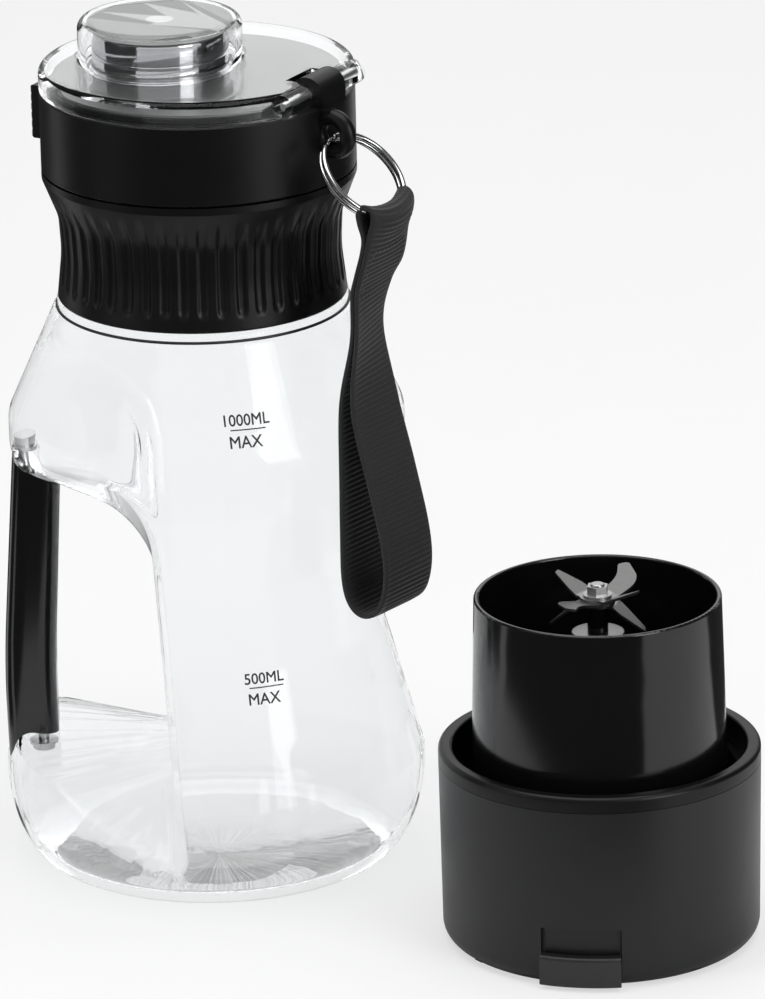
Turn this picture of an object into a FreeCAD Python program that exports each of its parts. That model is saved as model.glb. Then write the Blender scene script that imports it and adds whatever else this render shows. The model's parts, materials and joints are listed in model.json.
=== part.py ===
import FreeCAD, Part
import math
import os

import Sketcher

# Cordless portable blender, standing in two pieces: the clear jug with its lid, and the motor and
# blade unit beside it.  Origin: centre of the jug's flat foot, on the table.  +Z is up, the jug's
# handle is on -X, and the motor unit stands to the front right (+X, -Y).  Millimetres and degrees.

doc = FreeCAD.newDocument("portable_blender")
sheet = doc.addObject("Spreadsheet::Sheet", "sizes")


# ---------------------------------------------------------------------------------------------
# Named sizes: a number together with the sheet expression that gives it
# ---------------------------------------------------------------------------------------------
class Size:
    """A length or angle that knows its number and its sheet expression."""

    def __init__(self, value, text):
        self.value = float(value)
        self.text = text

    def __add__(self, other):
        other = as_size(other)
        return Size(self.value + other.value, f"({self.text} + {other.text})")

    def __sub__(self, other):
        other = as_size(other)
        return Size(self.value - other.value, f"({self.text} - {other.text})")

    def __mul__(self, other):
        other = as_size(other)
        return Size(self.value * other.value, f"({self.text} * {other.text})")

    def __truediv__(self, other):
        other = as_size(other)
        return Size(self.value / other.value, f"({self.text} / {other.text})")

    def __radd__(self, other):
        return as_size(other) + self

    def __rsub__(self, other):
        return as_size(other) - self

    def __rmul__(self, other):
        return as_size(other) * self

    def __neg__(self):
        return Size(-self.value, f"(-1 * {self.text})")


def as_size(value):
    """A plain number as a Size."""
    if isinstance(value, Size):
        return value
    return Size(value, repr(float(value)))


def cosine(angle):
    return Size(math.cos(math.radians(angle.value)), f"cos({angle.text} * 1deg)")


def sine(angle):
    return Size(math.sin(math.radians(angle.value)), f"sin({angle.text} * 1deg)")


def tangent(angle):
    return Size(math.tan(math.radians(angle.value)), f"tan({angle.text} * 1deg)")


sheet_names = []


def size(alias, value):
    """Writes one driving dimension to the sheet."""
    sheet_names.append(alias)
    row = len(sheet_names)
    sheet.set(f"A{row}", alias)
    sheet.set(f"B{row}", str(value))
    sheet.setAlias(f"B{row}", alias)
    return Size(value, f"sizes.{alias}")


# ---------------------------------------------------------------------------------------------
# Driving dimensions
# ---------------------------------------------------------------------------------------------
# where things stand
lid_heading = size("lid_heading", -31.0)
strap_heading = size("strap_heading", -38.0)
motor_x = size("motor_x", 106.6)
motor_y = size("motor_y", -75.0)
port_heading = size("port_heading", -100.6)
running_gap = size("running_gap", 0.3)
slip_gap = size("slip_gap", 0.05)

# jug
jug_wall = size("jug_wall", 2.2)
floor_thick = size("floor_thick", 3.0)
foot_bend = size("foot_bend", 11.7)
base_bend = size("base_bend", 38.0)
base_radius = size("base_radius", 60.1)
foot_inset = size("foot_inset", 9.2)
foot_radius = base_radius - foot_inset
base_low = size("base_low", 15.2)
base_tall = size("base_tall", 15.3)
base_high = base_low + base_tall
waist_inset = size("waist_inset", 11.0)
waist_radius = base_radius - waist_inset
waist_rise = size("waist_rise", 39.5)
waist_low = base_high + waist_rise
waist_tall = size("waist_tall", 23.0)
waist_high = waist_low + waist_tall
shoulder_inset = size("shoulder_inset", 3.9)
shoulder_radius = base_radius - shoulder_inset
shoulder_rise = size("shoulder_rise", 24.0)
shoulder_low = waist_high + shoulder_rise
shoulder_tall = size("shoulder_tall", 16.6)
shoulder_high = shoulder_low + shoulder_tall
neck_rise = size("neck_rise", 29.8)
shoulder_end = shoulder_high + neck_rise
bead_tall = size("bead_tall", 4.2)
neck_low = shoulder_end + bead_tall
neck_radius = size("neck_radius", 38.2)
neck_wall = size("neck_wall", 1.8)
neck_bore = neck_radius - neck_wall
bead_proud = size("bead_proud", 3.0)
bead_radius = neck_radius + bead_proud
shoulder_end_proud = size("shoulder_end_proud", 4.2)
shoulder_end_radius = neck_radius + shoulder_end_proud
neck_tall = size("neck_tall", 58.4)
neck_top = neck_low + neck_tall
handle_gap_x = size("handle_gap_x", -16.4)
handle_gap_roof = size("handle_gap_roof", 13.9)
handle_gap_top = shoulder_low - handle_gap_roof
handle_gap_rise = size("handle_gap_rise", 24.2)
handle_gap_foot_x = size("handle_gap_foot_x", -12.0)
handle_gap_sink = size("handle_gap_sink", 1.3)
handle_gap_floor = base_high - handle_gap_sink
handle_gap_floor_rise = size("handle_gap_floor_rise", 10.0)
gap_edge_round = size("gap_edge_round", 4.5)

# threads of the neck, the lid and the motor unit
thread_starts = 4
thread_lead = size("thread_lead", 18.0)
thread_depth = size("thread_depth", 1.5)
thread_tall = size("thread_tall", 1.6)
thread_drop = size("thread_drop", 15.0)
thread_low = neck_top - thread_drop
thread_span = size("thread_span", 80.0)
lug_span = size("lug_span", 60.0)
lug_start = size("lug_start", 10.0)

# collar and grip
collar_slim_wall = size("collar_slim_wall", 1.3)
collar_slim_radius = neck_radius + collar_slim_wall
collar_low_wall = size("collar_low_wall", 2.8)
collar_low_radius = neck_radius + collar_low_wall
collar_tall = size("collar_tall", 37.4)
collar_high = neck_low + collar_tall
flute_count = 46
flute_depth = size("flute_depth", 0.7)
flute_angle = size("flute_angle", 4.4)
grip_inset = size("grip_inset", 0.1)
grip_outer = base_radius - grip_inset
grip_thick = size("grip_thick", 14.8)
grip_wide = size("grip_wide", 24.0)
grip_round = size("grip_round", 5.5)
grip_screw_inset = size("grip_screw_inset", 10.5)
grip_screw_x = grip_screw_inset - grip_outer
screw_shank = size("screw_shank", 1.5)
screw_head = size("screw_head", 3.2)
screw_head_tall = size("screw_head_tall", 2.4)
screw_length = size("screw_length", 15.0)
washer_radius = size("washer_radius", 4.0)
seat_rise = size("seat_rise", 1.0)
washer_thick = size("washer_thick", 1.0)

# lid base
band_room = size("band_room", 2.7)
band_bore = neck_radius + band_room
band_wall = size("band_wall", 3.5)
band_radius = band_bore + band_wall
band_gap = size("band_gap", 0.4)
roof_thick = size("roof_thick", 0.6)
gasket_thick = size("gasket_thick", 1.4)
band_low = collar_high + band_gap
roof_low = neck_top + gasket_thick + slip_gap + slip_gap
band_high = roof_low + roof_thick
step_inset = size("step_inset", 3.4)
step_radius = band_radius - step_inset
step_tall = size("step_tall", 2.1)
step_high = band_high + step_tall
deck_thick = size("deck_thick", 0.6)
deck_high = step_high + deck_thick
flange_lip = size("flange_lip", 0.6)
spout_x = size("spout_x", -11.6)
spout_radius = size("spout_radius", 19.3)
spout_bore = size("spout_bore", 17.3)
spout_tall = size("spout_tall", 12.5)
spout_flange = size("spout_flange", 21.0)
hinge_inset = size("hinge_inset", 5.1)
hinge_x = band_radius - hinge_inset
hinge_rise = size("hinge_rise", 1.3)
hinge_z = step_high + hinge_rise
hinge_block_wide = size("hinge_block_wide", 13.0)
hinge_block_radius = size("hinge_block_radius", 5.0)
barrel_radius = size("barrel_radius", 3.4)
pin_radius = size("pin_radius", 1.15)
pin_length = size("pin_length", 39.0)
barrel_length = size("barrel_length", 41.0)
hinge_side_gap = size("hinge_side_gap", 0.7)
eyelet_out = size("eyelet_out", 3.2)
eyelet_x = band_radius + eyelet_out
eyelet_drop = size("eyelet_drop", 7.0)
eyelet_z = band_high - eyelet_drop
eyelet_radius = size("eyelet_radius", 7.2)
eyelet_hole = size("eyelet_hole", 2.6)

# flip lid
lid_wall = size("lid_wall", 2.2)
lid_tall = size("lid_tall", 6.7)
bump_radius = size("bump_radius", 23.2)
bump_wall = size("bump_wall", 2.0)
bump_roof = size("bump_roof", 1.8)
lid_seam_round = size("lid_seam_round", 1.5)
seal_radius = size("seal_radius", 20.3)
seal_gap = size("seal_gap", 0.4)
seal_thick = size("seal_thick", 1.2)
plug_radius = size("plug_radius", 16.7)
plug_deep = size("plug_deep", 1.8)

# latch
latch_wide = size("latch_wide", 18.0)
latch_tall = size("latch_tall", 15.5)
latch_drop = size("latch_drop", 11.4)
latch_z = band_high - latch_drop
latch_seat = size("latch_seat", 1.1)
latch_back = band_radius - latch_seat
latch_proud = size("latch_proud", 5.6)
latch_front = band_radius + latch_proud
latch_travel = size("latch_travel", 1.3)
latch_round = size("latch_round", 1.5)
latch_spring_radius = size("latch_spring_radius", 2.1)
latch_spring_wire = size("latch_spring_wire", 0.5)
latch_spring_deep = size("latch_spring_deep", 4.0)
latch_spring_turns = size("latch_spring_turns", 4.0)
latch_ribs = 5

# split ring and strap
ring_radius = size("ring_radius", 13.4)
ring_wire = size("ring_wire", 1.45)
ring_tilt = size("ring_tilt", 46.0)
ring_out = size("ring_out", 9.6)
ring_x = eyelet_x + ring_out
ring_drop = size("ring_drop", 10.6)
ring_z = eyelet_z - ring_drop
strap_wide = size("strap_wide", 22.0)
strap_thick = size("strap_thick", 1.5)
fold_wide = size("fold_wide", 10.0)
fold_out = size("fold_out", 9.5)
fold_x = ring_x + fold_out
fold_low = size("fold_low", 9.8)
fold_z = ring_z - fold_low
fold_radius = size("fold_radius", 4.4)
fold_room = size("fold_room", 2.9)
fold_drop = size("fold_drop", 0.9)

# motor unit shell
ring_room = size("ring_room", 2.9)
ring_wall = size("ring_wall", 3.9)
ring_bore = neck_radius + ring_room
shell_radius = ring_bore + ring_wall
shell_taper = size("shell_taper", 0.6)
shell_foot_radius = shell_radius - shell_taper
shell_top = size("shell_top", 51.9)
shell_wall = size("shell_wall", 2.2)
shell_floor = size("shell_floor", 2.4)
shell_round = size("shell_round", 5.0)
button_hole = size("button_hole", 9.2)
port_recess_angle = size("port_recess_angle", 29.2)
port_recess_low = size("port_recess_low", 0.9)
port_recess_high = size("port_recess_high", 17.3)
port_recess_deep = size("port_recess_deep", 1.7)
port_recess_radius = shell_radius - port_recess_deep
cover_proud = size("cover_proud", 2.2)
cover_front = shell_radius + cover_proud
cover_high = size("cover_high", 10.0)
cover_angle = size("cover_angle", 28.0)
socket_z = size("socket_z", 5.8)
socket_wide = size("socket_wide", 9.0)
socket_tall = size("socket_tall", 3.2)
socket_inset = size("socket_inset", 2.8)
socket_front = shell_radius - socket_inset
socket_deep = size("socket_deep", 7.4)
socket_round = size("socket_round", 1.4)
socket_skin = size("socket_skin", 0.35)
port_slot_gap = size("port_slot_gap", 0.2)

# top ring and blade cup
seam_gap = size("seam_gap", 0.15)
ring_top = size("ring_top", 56.4)
groove_floor = size("groove_floor", 40.0)
flange_thick = size("flange_thick", 2.0)
flange_seat = size("flange_seat", 1.1)
cup_flange = ring_bore + flange_seat
ring_gasket_thick = size("ring_gasket_thick", 1.6)
ring_lug_low = size("ring_lug_low", 45.0)
cup_gap = size("cup_gap", 0.4)
cup_radius = neck_bore - cup_gap
cup_taper = size("cup_taper", 1.6)
cup_rim_radius = cup_radius - cup_taper
cup_top = size("cup_top", 99.6)
cup_wall = size("cup_wall", 1.5)
cup_floor = size("cup_floor", 62.0)
cup_floor_thick = size("cup_floor_thick", 2.0)
cup_bore = size("cup_bore", 3.5)

# drive
tower_foot = size("tower_foot", 13.0)
tower_neck = size("tower_neck", 8.0)
tower_top = size("tower_top", 88.0)
bearing_outer = size("bearing_outer", 5.0)
bearing_tall = size("bearing_tall", 4.0)
shaft_radius = size("shaft_radius", 2.0)
shaft_low = size("shaft_low", 53.5)
cap_radius = size("cap_radius", 7.5)
cap_thick = size("cap_thick", 1.0)
shaft_seal_tall = size("shaft_seal_tall", 3.0)
spacer_radius = size("spacer_radius", 2.9)
blade_thick = size("blade_thick", 0.8)
blade_level = size("blade_level", 97.0)
sickle_length = size("sickle_length", 20.7)
sickle_rise = size("sickle_rise", 14.0)
up_length = size("up_length", 14.5)
up_rise = size("up_rise", 25.0)
down_length = size("down_length", 14.0)
down_rise = size("down_rise", -40.0)
sickle_heading = size("sickle_heading", 54.0)
up_heading = size("up_heading", 137.0)
down_heading = size("down_heading", -20.0)
wing_wide = size("wing_wide", 7.0)
hub_radius = size("hub_radius", 5.0)
nut_radius = size("nut_radius", 3.1)
nut_tall = size("nut_tall", 2.4)
washer_tall = size("washer_tall", 0.6)

# motor, cells and electronics
board_z = size("board_z", 6.9)
board_thick = size("board_thick", 1.1)
board_inset = size("board_inset", 6.0)
board_radius = shell_radius - board_inset
post_inset = size("post_inset", 6.0)
post_ring = board_radius - post_inset
post_radius = size("post_radius", 2.5)
switch_tall = size("switch_tall", 1.3)
switch_wide = size("switch_wide", 4.8)
cradle_z = size("cradle_z", 8.0)
cradle_thick = size("cradle_thick", 1.5)
cradle_inset = size("cradle_inset", 5.5)
cradle_radius = shell_radius - cradle_inset
cradle_wall = size("cradle_wall", 1.2)
cradle_rim = size("cradle_rim", 6.0)
cell_radius = size("cell_radius", 9.0)
cell_length = size("cell_length", 49.0)
cell_y = size("cell_y", 24.0)
motor_radius = size("motor_radius", 13.6)
motor_wall = size("motor_wall", 1.2)
end_cap_tall = size("end_cap_tall", 2.5)
motor_top = size("motor_top", 45.0)
rotor_radius = size("rotor_radius", 10.8)
rotor_low = size("rotor_low", 16.0)
rotor_high = size("rotor_high", 40.0)
motor_shaft = size("motor_shaft", 1.5)
bracket_thick = size("bracket_thick", 2.0)
bracket_length = size("bracket_length", 62.0)
bracket_wide = size("bracket_wide", 26.0)
boss_x = size("boss_x", 27.0)
boss_radius = size("boss_radius", 3.4)
bracket_screw = size("bracket_screw", 1.25)
bracket_screw_length = size("bracket_screw_length", 9.0)
bracket_head_tall = size("bracket_head_tall", 1.8)
coupling_radius = size("coupling_radius", 5.2)
coupling_low = size("coupling_low", 48.4)
coupling_high = size("coupling_high", 59.0)
button_radius = size("button_radius", 9.0)
button_low = size("button_low", 0.8)
button_travel = size("button_travel", 0.6)
button_flange_thick = size("button_flange_thick", 0.8)
button_spring_radius = size("button_spring_radius", 4.6)
button_spring_wire = size("button_spring_wire", 0.5)
button_spring_turns = size("button_spring_turns", 2.5)
stem_radius = size("stem_radius", 1.6)

# heights worked out from the sizes above
spout_top = deck_high + spout_tall
seal_low = spout_top + seal_gap
seal_high = seal_low + seal_thick
bump_top = seal_high + bump_roof
lid_low = band_high + running_gap
lid_high = lid_low + lid_tall
trough_x = hinge_x - hinge_block_radius - running_gap


# points closer than this lie on the same surface
TOUCHING = 1e-4


# ---------------------------------------------------------------------------------------------
# Building blocks
# ---------------------------------------------------------------------------------------------
def bind(thing, path, value, unit=""):
    """Ties a property to the sheet."""
    value = as_size(value)
    thing.setExpression(path, f"{value.text} * 1{unit}" if unit else value.text)


def bind_place(thing, x=0.0, y=0.0, z=0.0, turn=None):
    """Places a piece by the sheet: an offset, and a turn about the vertical."""
    x, y, z = as_size(x), as_size(y), as_size(z)
    angle = turn.value if turn else 0.0
    spin = FreeCAD.Rotation(FreeCAD.Vector(0, 0, 1), angle)
    thing.Placement = FreeCAD.Placement(FreeCAD.Vector(x.value, y.value, z.value), spin)
    bind(thing, "Placement.Base.x", x)
    bind(thing, "Placement.Base.y", y)
    bind(thing, "Placement.Base.z", z)
    if turn:
        bind(thing, "Placement.Rotation.Angle", turn, "deg")


def add(kind, label):
    """A new object of the document, with its Label."""
    thing = doc.addObject(kind, label)
    thing.Label = label
    return thing


def plane_of(body, role):
    """One of the body's own origin planes."""
    return [feature for feature in body.Origin.OriginFeatures if feature.Role == role][0]


def pin_point(sketch, geometry, point, corner):
    """Holds a sketch point at its two named sizes."""
    across, up = corner[0], corner[1]
    for kind, axis, value in (("DistanceX", -2, across), ("DistanceY", -1, up)):
        if value.text == "0.0":
            sketch.addConstraint(Sketcher.Constraint("PointOnObject", geometry, point, axis))
            continue
        index = sketch.addConstraint(Sketcher.Constraint(kind, -1, 1, geometry, point, value.value))
        sketch.setExpression(f"Constraints[{index}]", value.text)


def draw_outline(sketch, corners):
    """Closed outline of straight runs; a corner (across, up, rounding) is joined by an arc."""
    corners = [tuple(as_size(part) for part in corner) for corner in corners]
    count = len(corners)
    points = [FreeCAD.Vector(corner[0].value, corner[1].value, 0) for corner in corners]
    leave, reach, bends = [], [], []
    for index, corner in enumerate(corners):
        back = (points[index - 1] - points[index]).normalize()
        onward = (points[(index + 1) % count] - points[index]).normalize()
        bend = corner[2].value if len(corner) > 2 else 0.0
        half = back.getAngle(onward) / 2
        run = bend / math.tan(half) if bend else 0.0
        reach.append(points[index] + back * run)
        leave.append(points[index] + onward * run)
        middle = points[index] + (back + onward).normalize() * (bend / math.sin(half)) if bend else None
        bends.append((middle, bend))
    for index in range(count):
        sketch.addGeometry(Part.LineSegment(leave[index], reach[(index + 1) % count]), False)
    for index, corner in enumerate(corners):
        before = (index - 1) % count
        middle, bend = bends[index]
        if not bend:
            sketch.addConstraint(Sketcher.Constraint("Coincident", before, 2, index, 1))
            pin_point(sketch, index, 1, corner)
            continue
        start, end = reach[index] - middle, leave[index] - middle
        clockwise = start.cross(end).z < 0
        first, last = (end, start) if clockwise else (start, end)
        circle = Part.Circle(middle, FreeCAD.Vector(0, 0, 1), bend)
        arc = Part.ArcOfCircle(circle, math.atan2(first.y, first.x), math.atan2(last.y, last.x))
        arc_index = sketch.addGeometry(arc, False)
        mark = sketch.addGeometry(Part.Point(points[index]), True)
        pin_point(sketch, mark, 1, corner)
        sketch.addConstraint(Sketcher.Constraint("PointOnObject", mark, 1, before))
        sketch.addConstraint(Sketcher.Constraint("PointOnObject", mark, 1, index))
        sketch.addConstraint(Sketcher.Constraint("Tangent", before, 2, arc_index, 2 if clockwise else 1))
        sketch.addConstraint(Sketcher.Constraint("Tangent", index, 1, arc_index, 1 if clockwise else 2))
        radius = sketch.addConstraint(Sketcher.Constraint("Radius", arc_index, bend))
        sketch.setExpression(f"Constraints[{radius}]", corner[2].text)


def outline(body, name, corners, plane="XZ_Plane", turn=None):
    """A sketch with one closed outline on a plane of the body, which may be turned about Z."""
    sketch = body.newObject("Sketcher::SketchObject", name)
    sketch.AttachmentSupport = [(plane_of(body, plane), "")]
    sketch.MapMode = "FlatFace"
    if turn:
        spin = FreeCAD.Rotation(FreeCAD.Vector(0, 1, 0), turn.value)
        sketch.AttachmentOffset = FreeCAD.Placement(FreeCAD.Vector(0, 0, 0), spin)
        bind(sketch, "AttachmentOffset.Rotation.Angle", turn, "deg")
    draw_outline(sketch, corners)
    return sketch


def spin_feature(body, kind, name, sketch, angle=360.0):
    """Revolves or grooves a sketch about the body's Z axis, evenly about the sketch."""
    angle = as_size(angle)
    feature = body.newObject(f"PartDesign::{kind}", name)
    feature.Profile = sketch
    feature.ReferenceAxis = (sketch, ["V_Axis"])
    feature.Angle = angle.value
    if angle.value < 360:
        feature.Midplane = True
        bind(feature, "Angle", angle)
    return feature


def new_body(label):
    body = doc.addObject("PartDesign::Body", label)
    body.Label = label
    return body


def turned(label, corners):
    """A body revolved about Z from an outline of (radius, height) corners."""
    body = new_body(label)
    spin_feature(body, "Revolution", f"{label}_turn", outline(body, f"{label}_outline", corners))
    return body


def tube(label, inner, outer, low, high, round_edge=None):
    """A plain ring about Z; an inner radius of None makes it a solid disc."""
    inside = 0.0 if inner is None else inner
    top = (outer, high) if round_edge is None else (outer, high, round_edge)
    return turned(label, [(inside, low), (outer, low), top, (inside, high)])


def padded(label, corners, low, tall, plane="XY_Plane"):
    """A body extruded from an outline: upwards from a height, or evenly about a side plane."""
    body = new_body(label)
    sketch = outline(body, f"{label}_outline", corners, plane)
    pad = body.newObject("PartDesign::Pad", f"{label}_pad")
    pad.Profile = sketch
    bind(pad, "Length", tall)
    if plane == "XY_Plane":
        bind(sketch, "AttachmentOffset.Base.z", low)
    else:
        pad.Midplane = True
    return body


def helix_lugs(body, name, near, far, low, span, turn):
    """Thread lugs: one short right-hand helical rib for each start, spread round the body."""
    low, turn = as_size(low), as_size(turn)
    rib = [(near, low), (far, low), (far, low + thread_tall), (near, low + thread_tall)]
    sketch = outline(body, f"{name}_outline", rib, "XZ_Plane", turn)
    lug = body.newObject("PartDesign::AdditiveHelix", name)
    lug.Profile = sketch
    lug.ReferenceAxis = (sketch, ["V_Axis"])
    lug.Mode = "pitch-height-angle"
    bind(lug, "Pitch", thread_lead)
    bind(lug, "Height", thread_lead * span / 360.0)
    pattern = body.newObject("PartDesign::PolarPattern", f"{name}_round")
    pattern.Originals = [lug]
    pattern.Axis = (sketch, ["V_Axis"])
    pattern.Angle = 360
    pattern.Occurrences = thread_starts
    body.Tip = pattern


def coil(label, radius, wire, tall, turns):
    """A spring wound round Z from height 0, as tall as given over its wire."""
    body = new_body(label)
    sketch = body.newObject("Sketcher::SketchObject", f"{label}_wire")
    sketch.AttachmentSupport = [(plane_of(body, "XZ_Plane"), "")]
    sketch.MapMode = "FlatFace"
    half = wire / 2
    middle = FreeCAD.Vector(radius.value, half.value, 0)
    circle = sketch.addGeometry(Part.Circle(middle, FreeCAD.Vector(0, 0, 1), half.value), False)
    pin_point(sketch, circle, 3, (radius, half))
    index = sketch.addConstraint(Sketcher.Constraint("Radius", circle, half.value))
    sketch.setExpression(f"Constraints[{index}]", half.text)
    spring = body.newObject("PartDesign::AdditiveHelix", f"{label}_helix")
    spring.Profile = sketch
    spring.ReferenceAxis = (sketch, ["V_Axis"])
    spring.Mode = "pitch-height-angle"
    bind(spring, "Pitch", (tall - wire) / turns)
    bind(spring, "Height", tall - wire)
    return body


def torus(label, x, z, around, wire, axis, angle):
    """A Part torus about Z, tilted by an angle about an axis at its middle."""
    thing = add("Part::Torus", label)
    thing.Placement.Rotation = FreeCAD.Rotation(axis, angle.value)
    bind(thing, "Radius1", around)
    bind(thing, "Radius2", wire)
    bind(thing, "Placement.Base.x", x)
    bind(thing, "Placement.Base.z", z)
    bind(thing, "Placement.Rotation.Angle", angle, "deg")
    return thing


def cylinder(label, x, y, z, radius, tall, along="Z"):
    """A Part cylinder; along Y it is centred on y."""
    thing = add("Part::Cylinder", label)
    bind(thing, "Radius", radius)
    bind(thing, "Height", tall)
    bind(thing, "Placement.Base.x", x)
    if along == "Y":
        thing.Placement.Rotation = FreeCAD.Rotation(FreeCAD.Vector(1, 0, 0), -90)
        bind(thing, "Placement.Base.y", as_size(y) - as_size(tall) / 2)
    else:
        bind(thing, "Placement.Base.y", y)
    bind(thing, "Placement.Base.z", z)
    return thing


def box(label, x, y, z, long, wide, tall):
    """A Part box from its low corner along X and Z, centred on y."""
    thing = add("Part::Box", label)
    bind(thing, "Length", long)
    bind(thing, "Width", wide)
    bind(thing, "Height", tall)
    bind(thing, "Placement.Base.x", x)
    bind(thing, "Placement.Base.y", as_size(y) - as_size(wide) / 2)
    bind(thing, "Placement.Base.z", z)
    return thing


def cut(label, base, *tools):
    """The base less each tool, one cut after another."""
    result = base
    for number, tool in enumerate(tools):
        last = number == len(tools) - 1
        step = add("Part::Cut", label if last else f"{label}_cut_{number}")
        step.Base = result
        step.Tool = tool
        result = step
    return result


def fuse(label, *pieces):
    thing = add("Part::MultiFuse", label)
    thing.Shapes = list(pieces)
    return thing


def common(label, *pieces):
    thing = add("Part::MultiCommon", label)
    thing.Shapes = list(pieces)
    return thing


def group(label, *pieces):
    """Identical separate solids kept as one node."""
    thing = add("Part::Compound", label)
    thing.Links = list(pieces)
    return thing


def edge_points(edge):
    """The edge's ends and its middle point."""
    middle = edge.valueAt((edge.FirstParameter + edge.LastParameter) / 2)
    return [vertex.Point for vertex in edge.Vertexes] + [middle]


def near_edges(shape, test):
    """Numbers of the edges whose middle point and ends all pass the test."""
    return [number for number, edge in enumerate(shape.Edges, start=1)
            if all(test(point) for point in edge_points(edge))]


def rim_edges(shape, tool):
    """Numbers of the edges that a tool's cut leaves on a shape, without those that run along Y."""
    skin = tool.Shells[0]
    found = []
    for number, edge in enumerate(shape.Edges, start=1):
        along = edge.tangentAt((edge.FirstParameter + edge.LastParameter) / 2)
        touches = all(skin.distToShape(Part.Vertex(point))[0] < TOUCHING for point in edge_points(edge))
        if touches and abs(along.y) < 0.999:
            found.append(number)
    return found


def rounded(label, base, numbers, radius):
    """A Part fillet of some edges of a piece; its radius is read from the sheet."""
    thing = add("Part::Fillet", label)
    thing.Base = base
    thing.Edges = [(number, radius.value, radius.value) for number in numbers]
    return thing


nodes = {}


def node(name, thing, frame=None, x=0.0, z=0.0, turn=0.0):
    """Names a finished piece, and stands it in its frame: on the jug's axis, or on the motor's."""
    thing.Label = name
    frames = {"lid": (0.0, 0.0, lid_heading), "strap": (0.0, 0.0, strap_heading),
              "motor": (motor_x, motor_y, port_heading)}
    if frame:
        base_x, base_y, heading = frames[frame]
        x = as_size(x)
        bind_place(thing, base_x + x * cosine(heading), base_y + x * sine(heading), z, heading + turn)
    nodes[name] = thing
    return thing


# ---------------------------------------------------------------------------------------------
# Jug, collar and grip
# ---------------------------------------------------------------------------------------------
def jug_side(inset):
    """Corners of the vessel's side from the foot to the waist, moved in by the inset."""
    return [
        (foot_radius - inset, inset / jug_wall * floor_thick, foot_bend - inset * 2.0),
        (base_radius - inset, base_low, base_bend - inset * 3.0),
        (base_radius - inset, base_high, 8.0),
        (waist_radius - inset, waist_low, 14.0),
        (waist_radius - inset, waist_high, 14.0),
        (shoulder_radius - inset, shoulder_low, 16.0),
        (shoulder_radius - inset, shoulder_high, 9.0),
    ]


def handle_gap(label, inset):
    """The prism through the vessel behind the grip; the inset leaves a wall round it."""
    open_side = -1.0 * (shoulder_radius + 14.0)
    return padded(label, [
        (handle_gap_x + inset, handle_gap_top + inset, 15.0),
        (handle_gap_foot_x + inset, handle_gap_floor - inset, 5.0),
        (grip_thick - grip_outer, handle_gap_floor + handle_gap_floor_rise - inset, 10.0),
        (open_side, handle_gap_floor + handle_gap_floor_rise * 1.4 - inset),
        (open_side, handle_gap_top + handle_gap_rise + inset),
    ], None, base_radius * 3.0, "XZ_Plane")


def rounded_notch(label, solid, gap, radius):
    """A solid of the vessel less the handle gap, with the notch's rims rounded."""
    notched = cut(f"{label}_notched", solid, gap)
    doc.recompute()
    return rounded(label, notched, rim_edges(notched.Shape, gap.Shape), radius)


def screw_boss_top(side):
    """Height of the flat seat inside the vessel for the grip screw, at the roof or at the floor."""
    if side > 0:
        slope = handle_gap_rise / (shoulder_radius + 14.0 + handle_gap_x)
        reach = handle_gap_x - grip_screw_x + washer_radius
        return handle_gap_top + slope * reach + jug_wall + seat_rise
    return handle_gap_floor + handle_gap_floor_rise - jug_wall * 2.0 - 1.5


def make_jug():
    foot = jug_side(as_size(0.0))
    outside = turned("jug_outside", [(0.0, 0.0), (foot_radius, 0.0, foot_bend)] + foot[1:] + [
        (shoulder_end_radius, shoulder_end, 1.2), (bead_radius - 0.7, shoulder_end + 0.8),
        (bead_radius, shoulder_end + 1.6), (bead_radius, neck_low), (neck_radius, neck_low),
        (neck_radius, neck_top), (0.0, neck_top)])
    helix_lugs(outside, "neck_thread", neck_radius - 0.2, neck_radius + thread_depth, thread_low,
               thread_span, 0.0)
    inside = turned("jug_inside", [(0.0, floor_thick)] + jug_side(jug_wall) + [
        (neck_bore, neck_low, 2.0), (neck_bore, neck_top + 2.0), (0.0, neck_top + 2.0)])
    body = rounded_notch("jug_body", outside, handle_gap("handle_gap_outer", as_size(0.0)),
                         gap_edge_round)
    hollow = rounded_notch("jug_hollow", inside, handle_gap("handle_gap_inner", jug_wall),
                           gap_edge_round - jug_wall)
    seats = []
    holes = []
    for side, word in ((1, "top"), (-1, "foot")):
        seat = screw_boss_top(side)
        low = seat - 6.0 if side > 0 else seat
        seats.append(cylinder(f"screw_seat_{word}", grip_screw_x, 0.0, low, washer_radius + 0.6, 6.0))
        holes.append(cylinder(f"screw_way_{word}", grip_screw_x, 0.0, low - 8.0, screw_shank + slip_gap,
                              22.0))
    solid_seats = common("screw_seats", fuse("seat_pair", *seats), body)
    cavity = cut("jug_cavity", hollow, solid_seats)
    node("jug", cut("jug", body, cavity, *holes))
    return body


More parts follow.
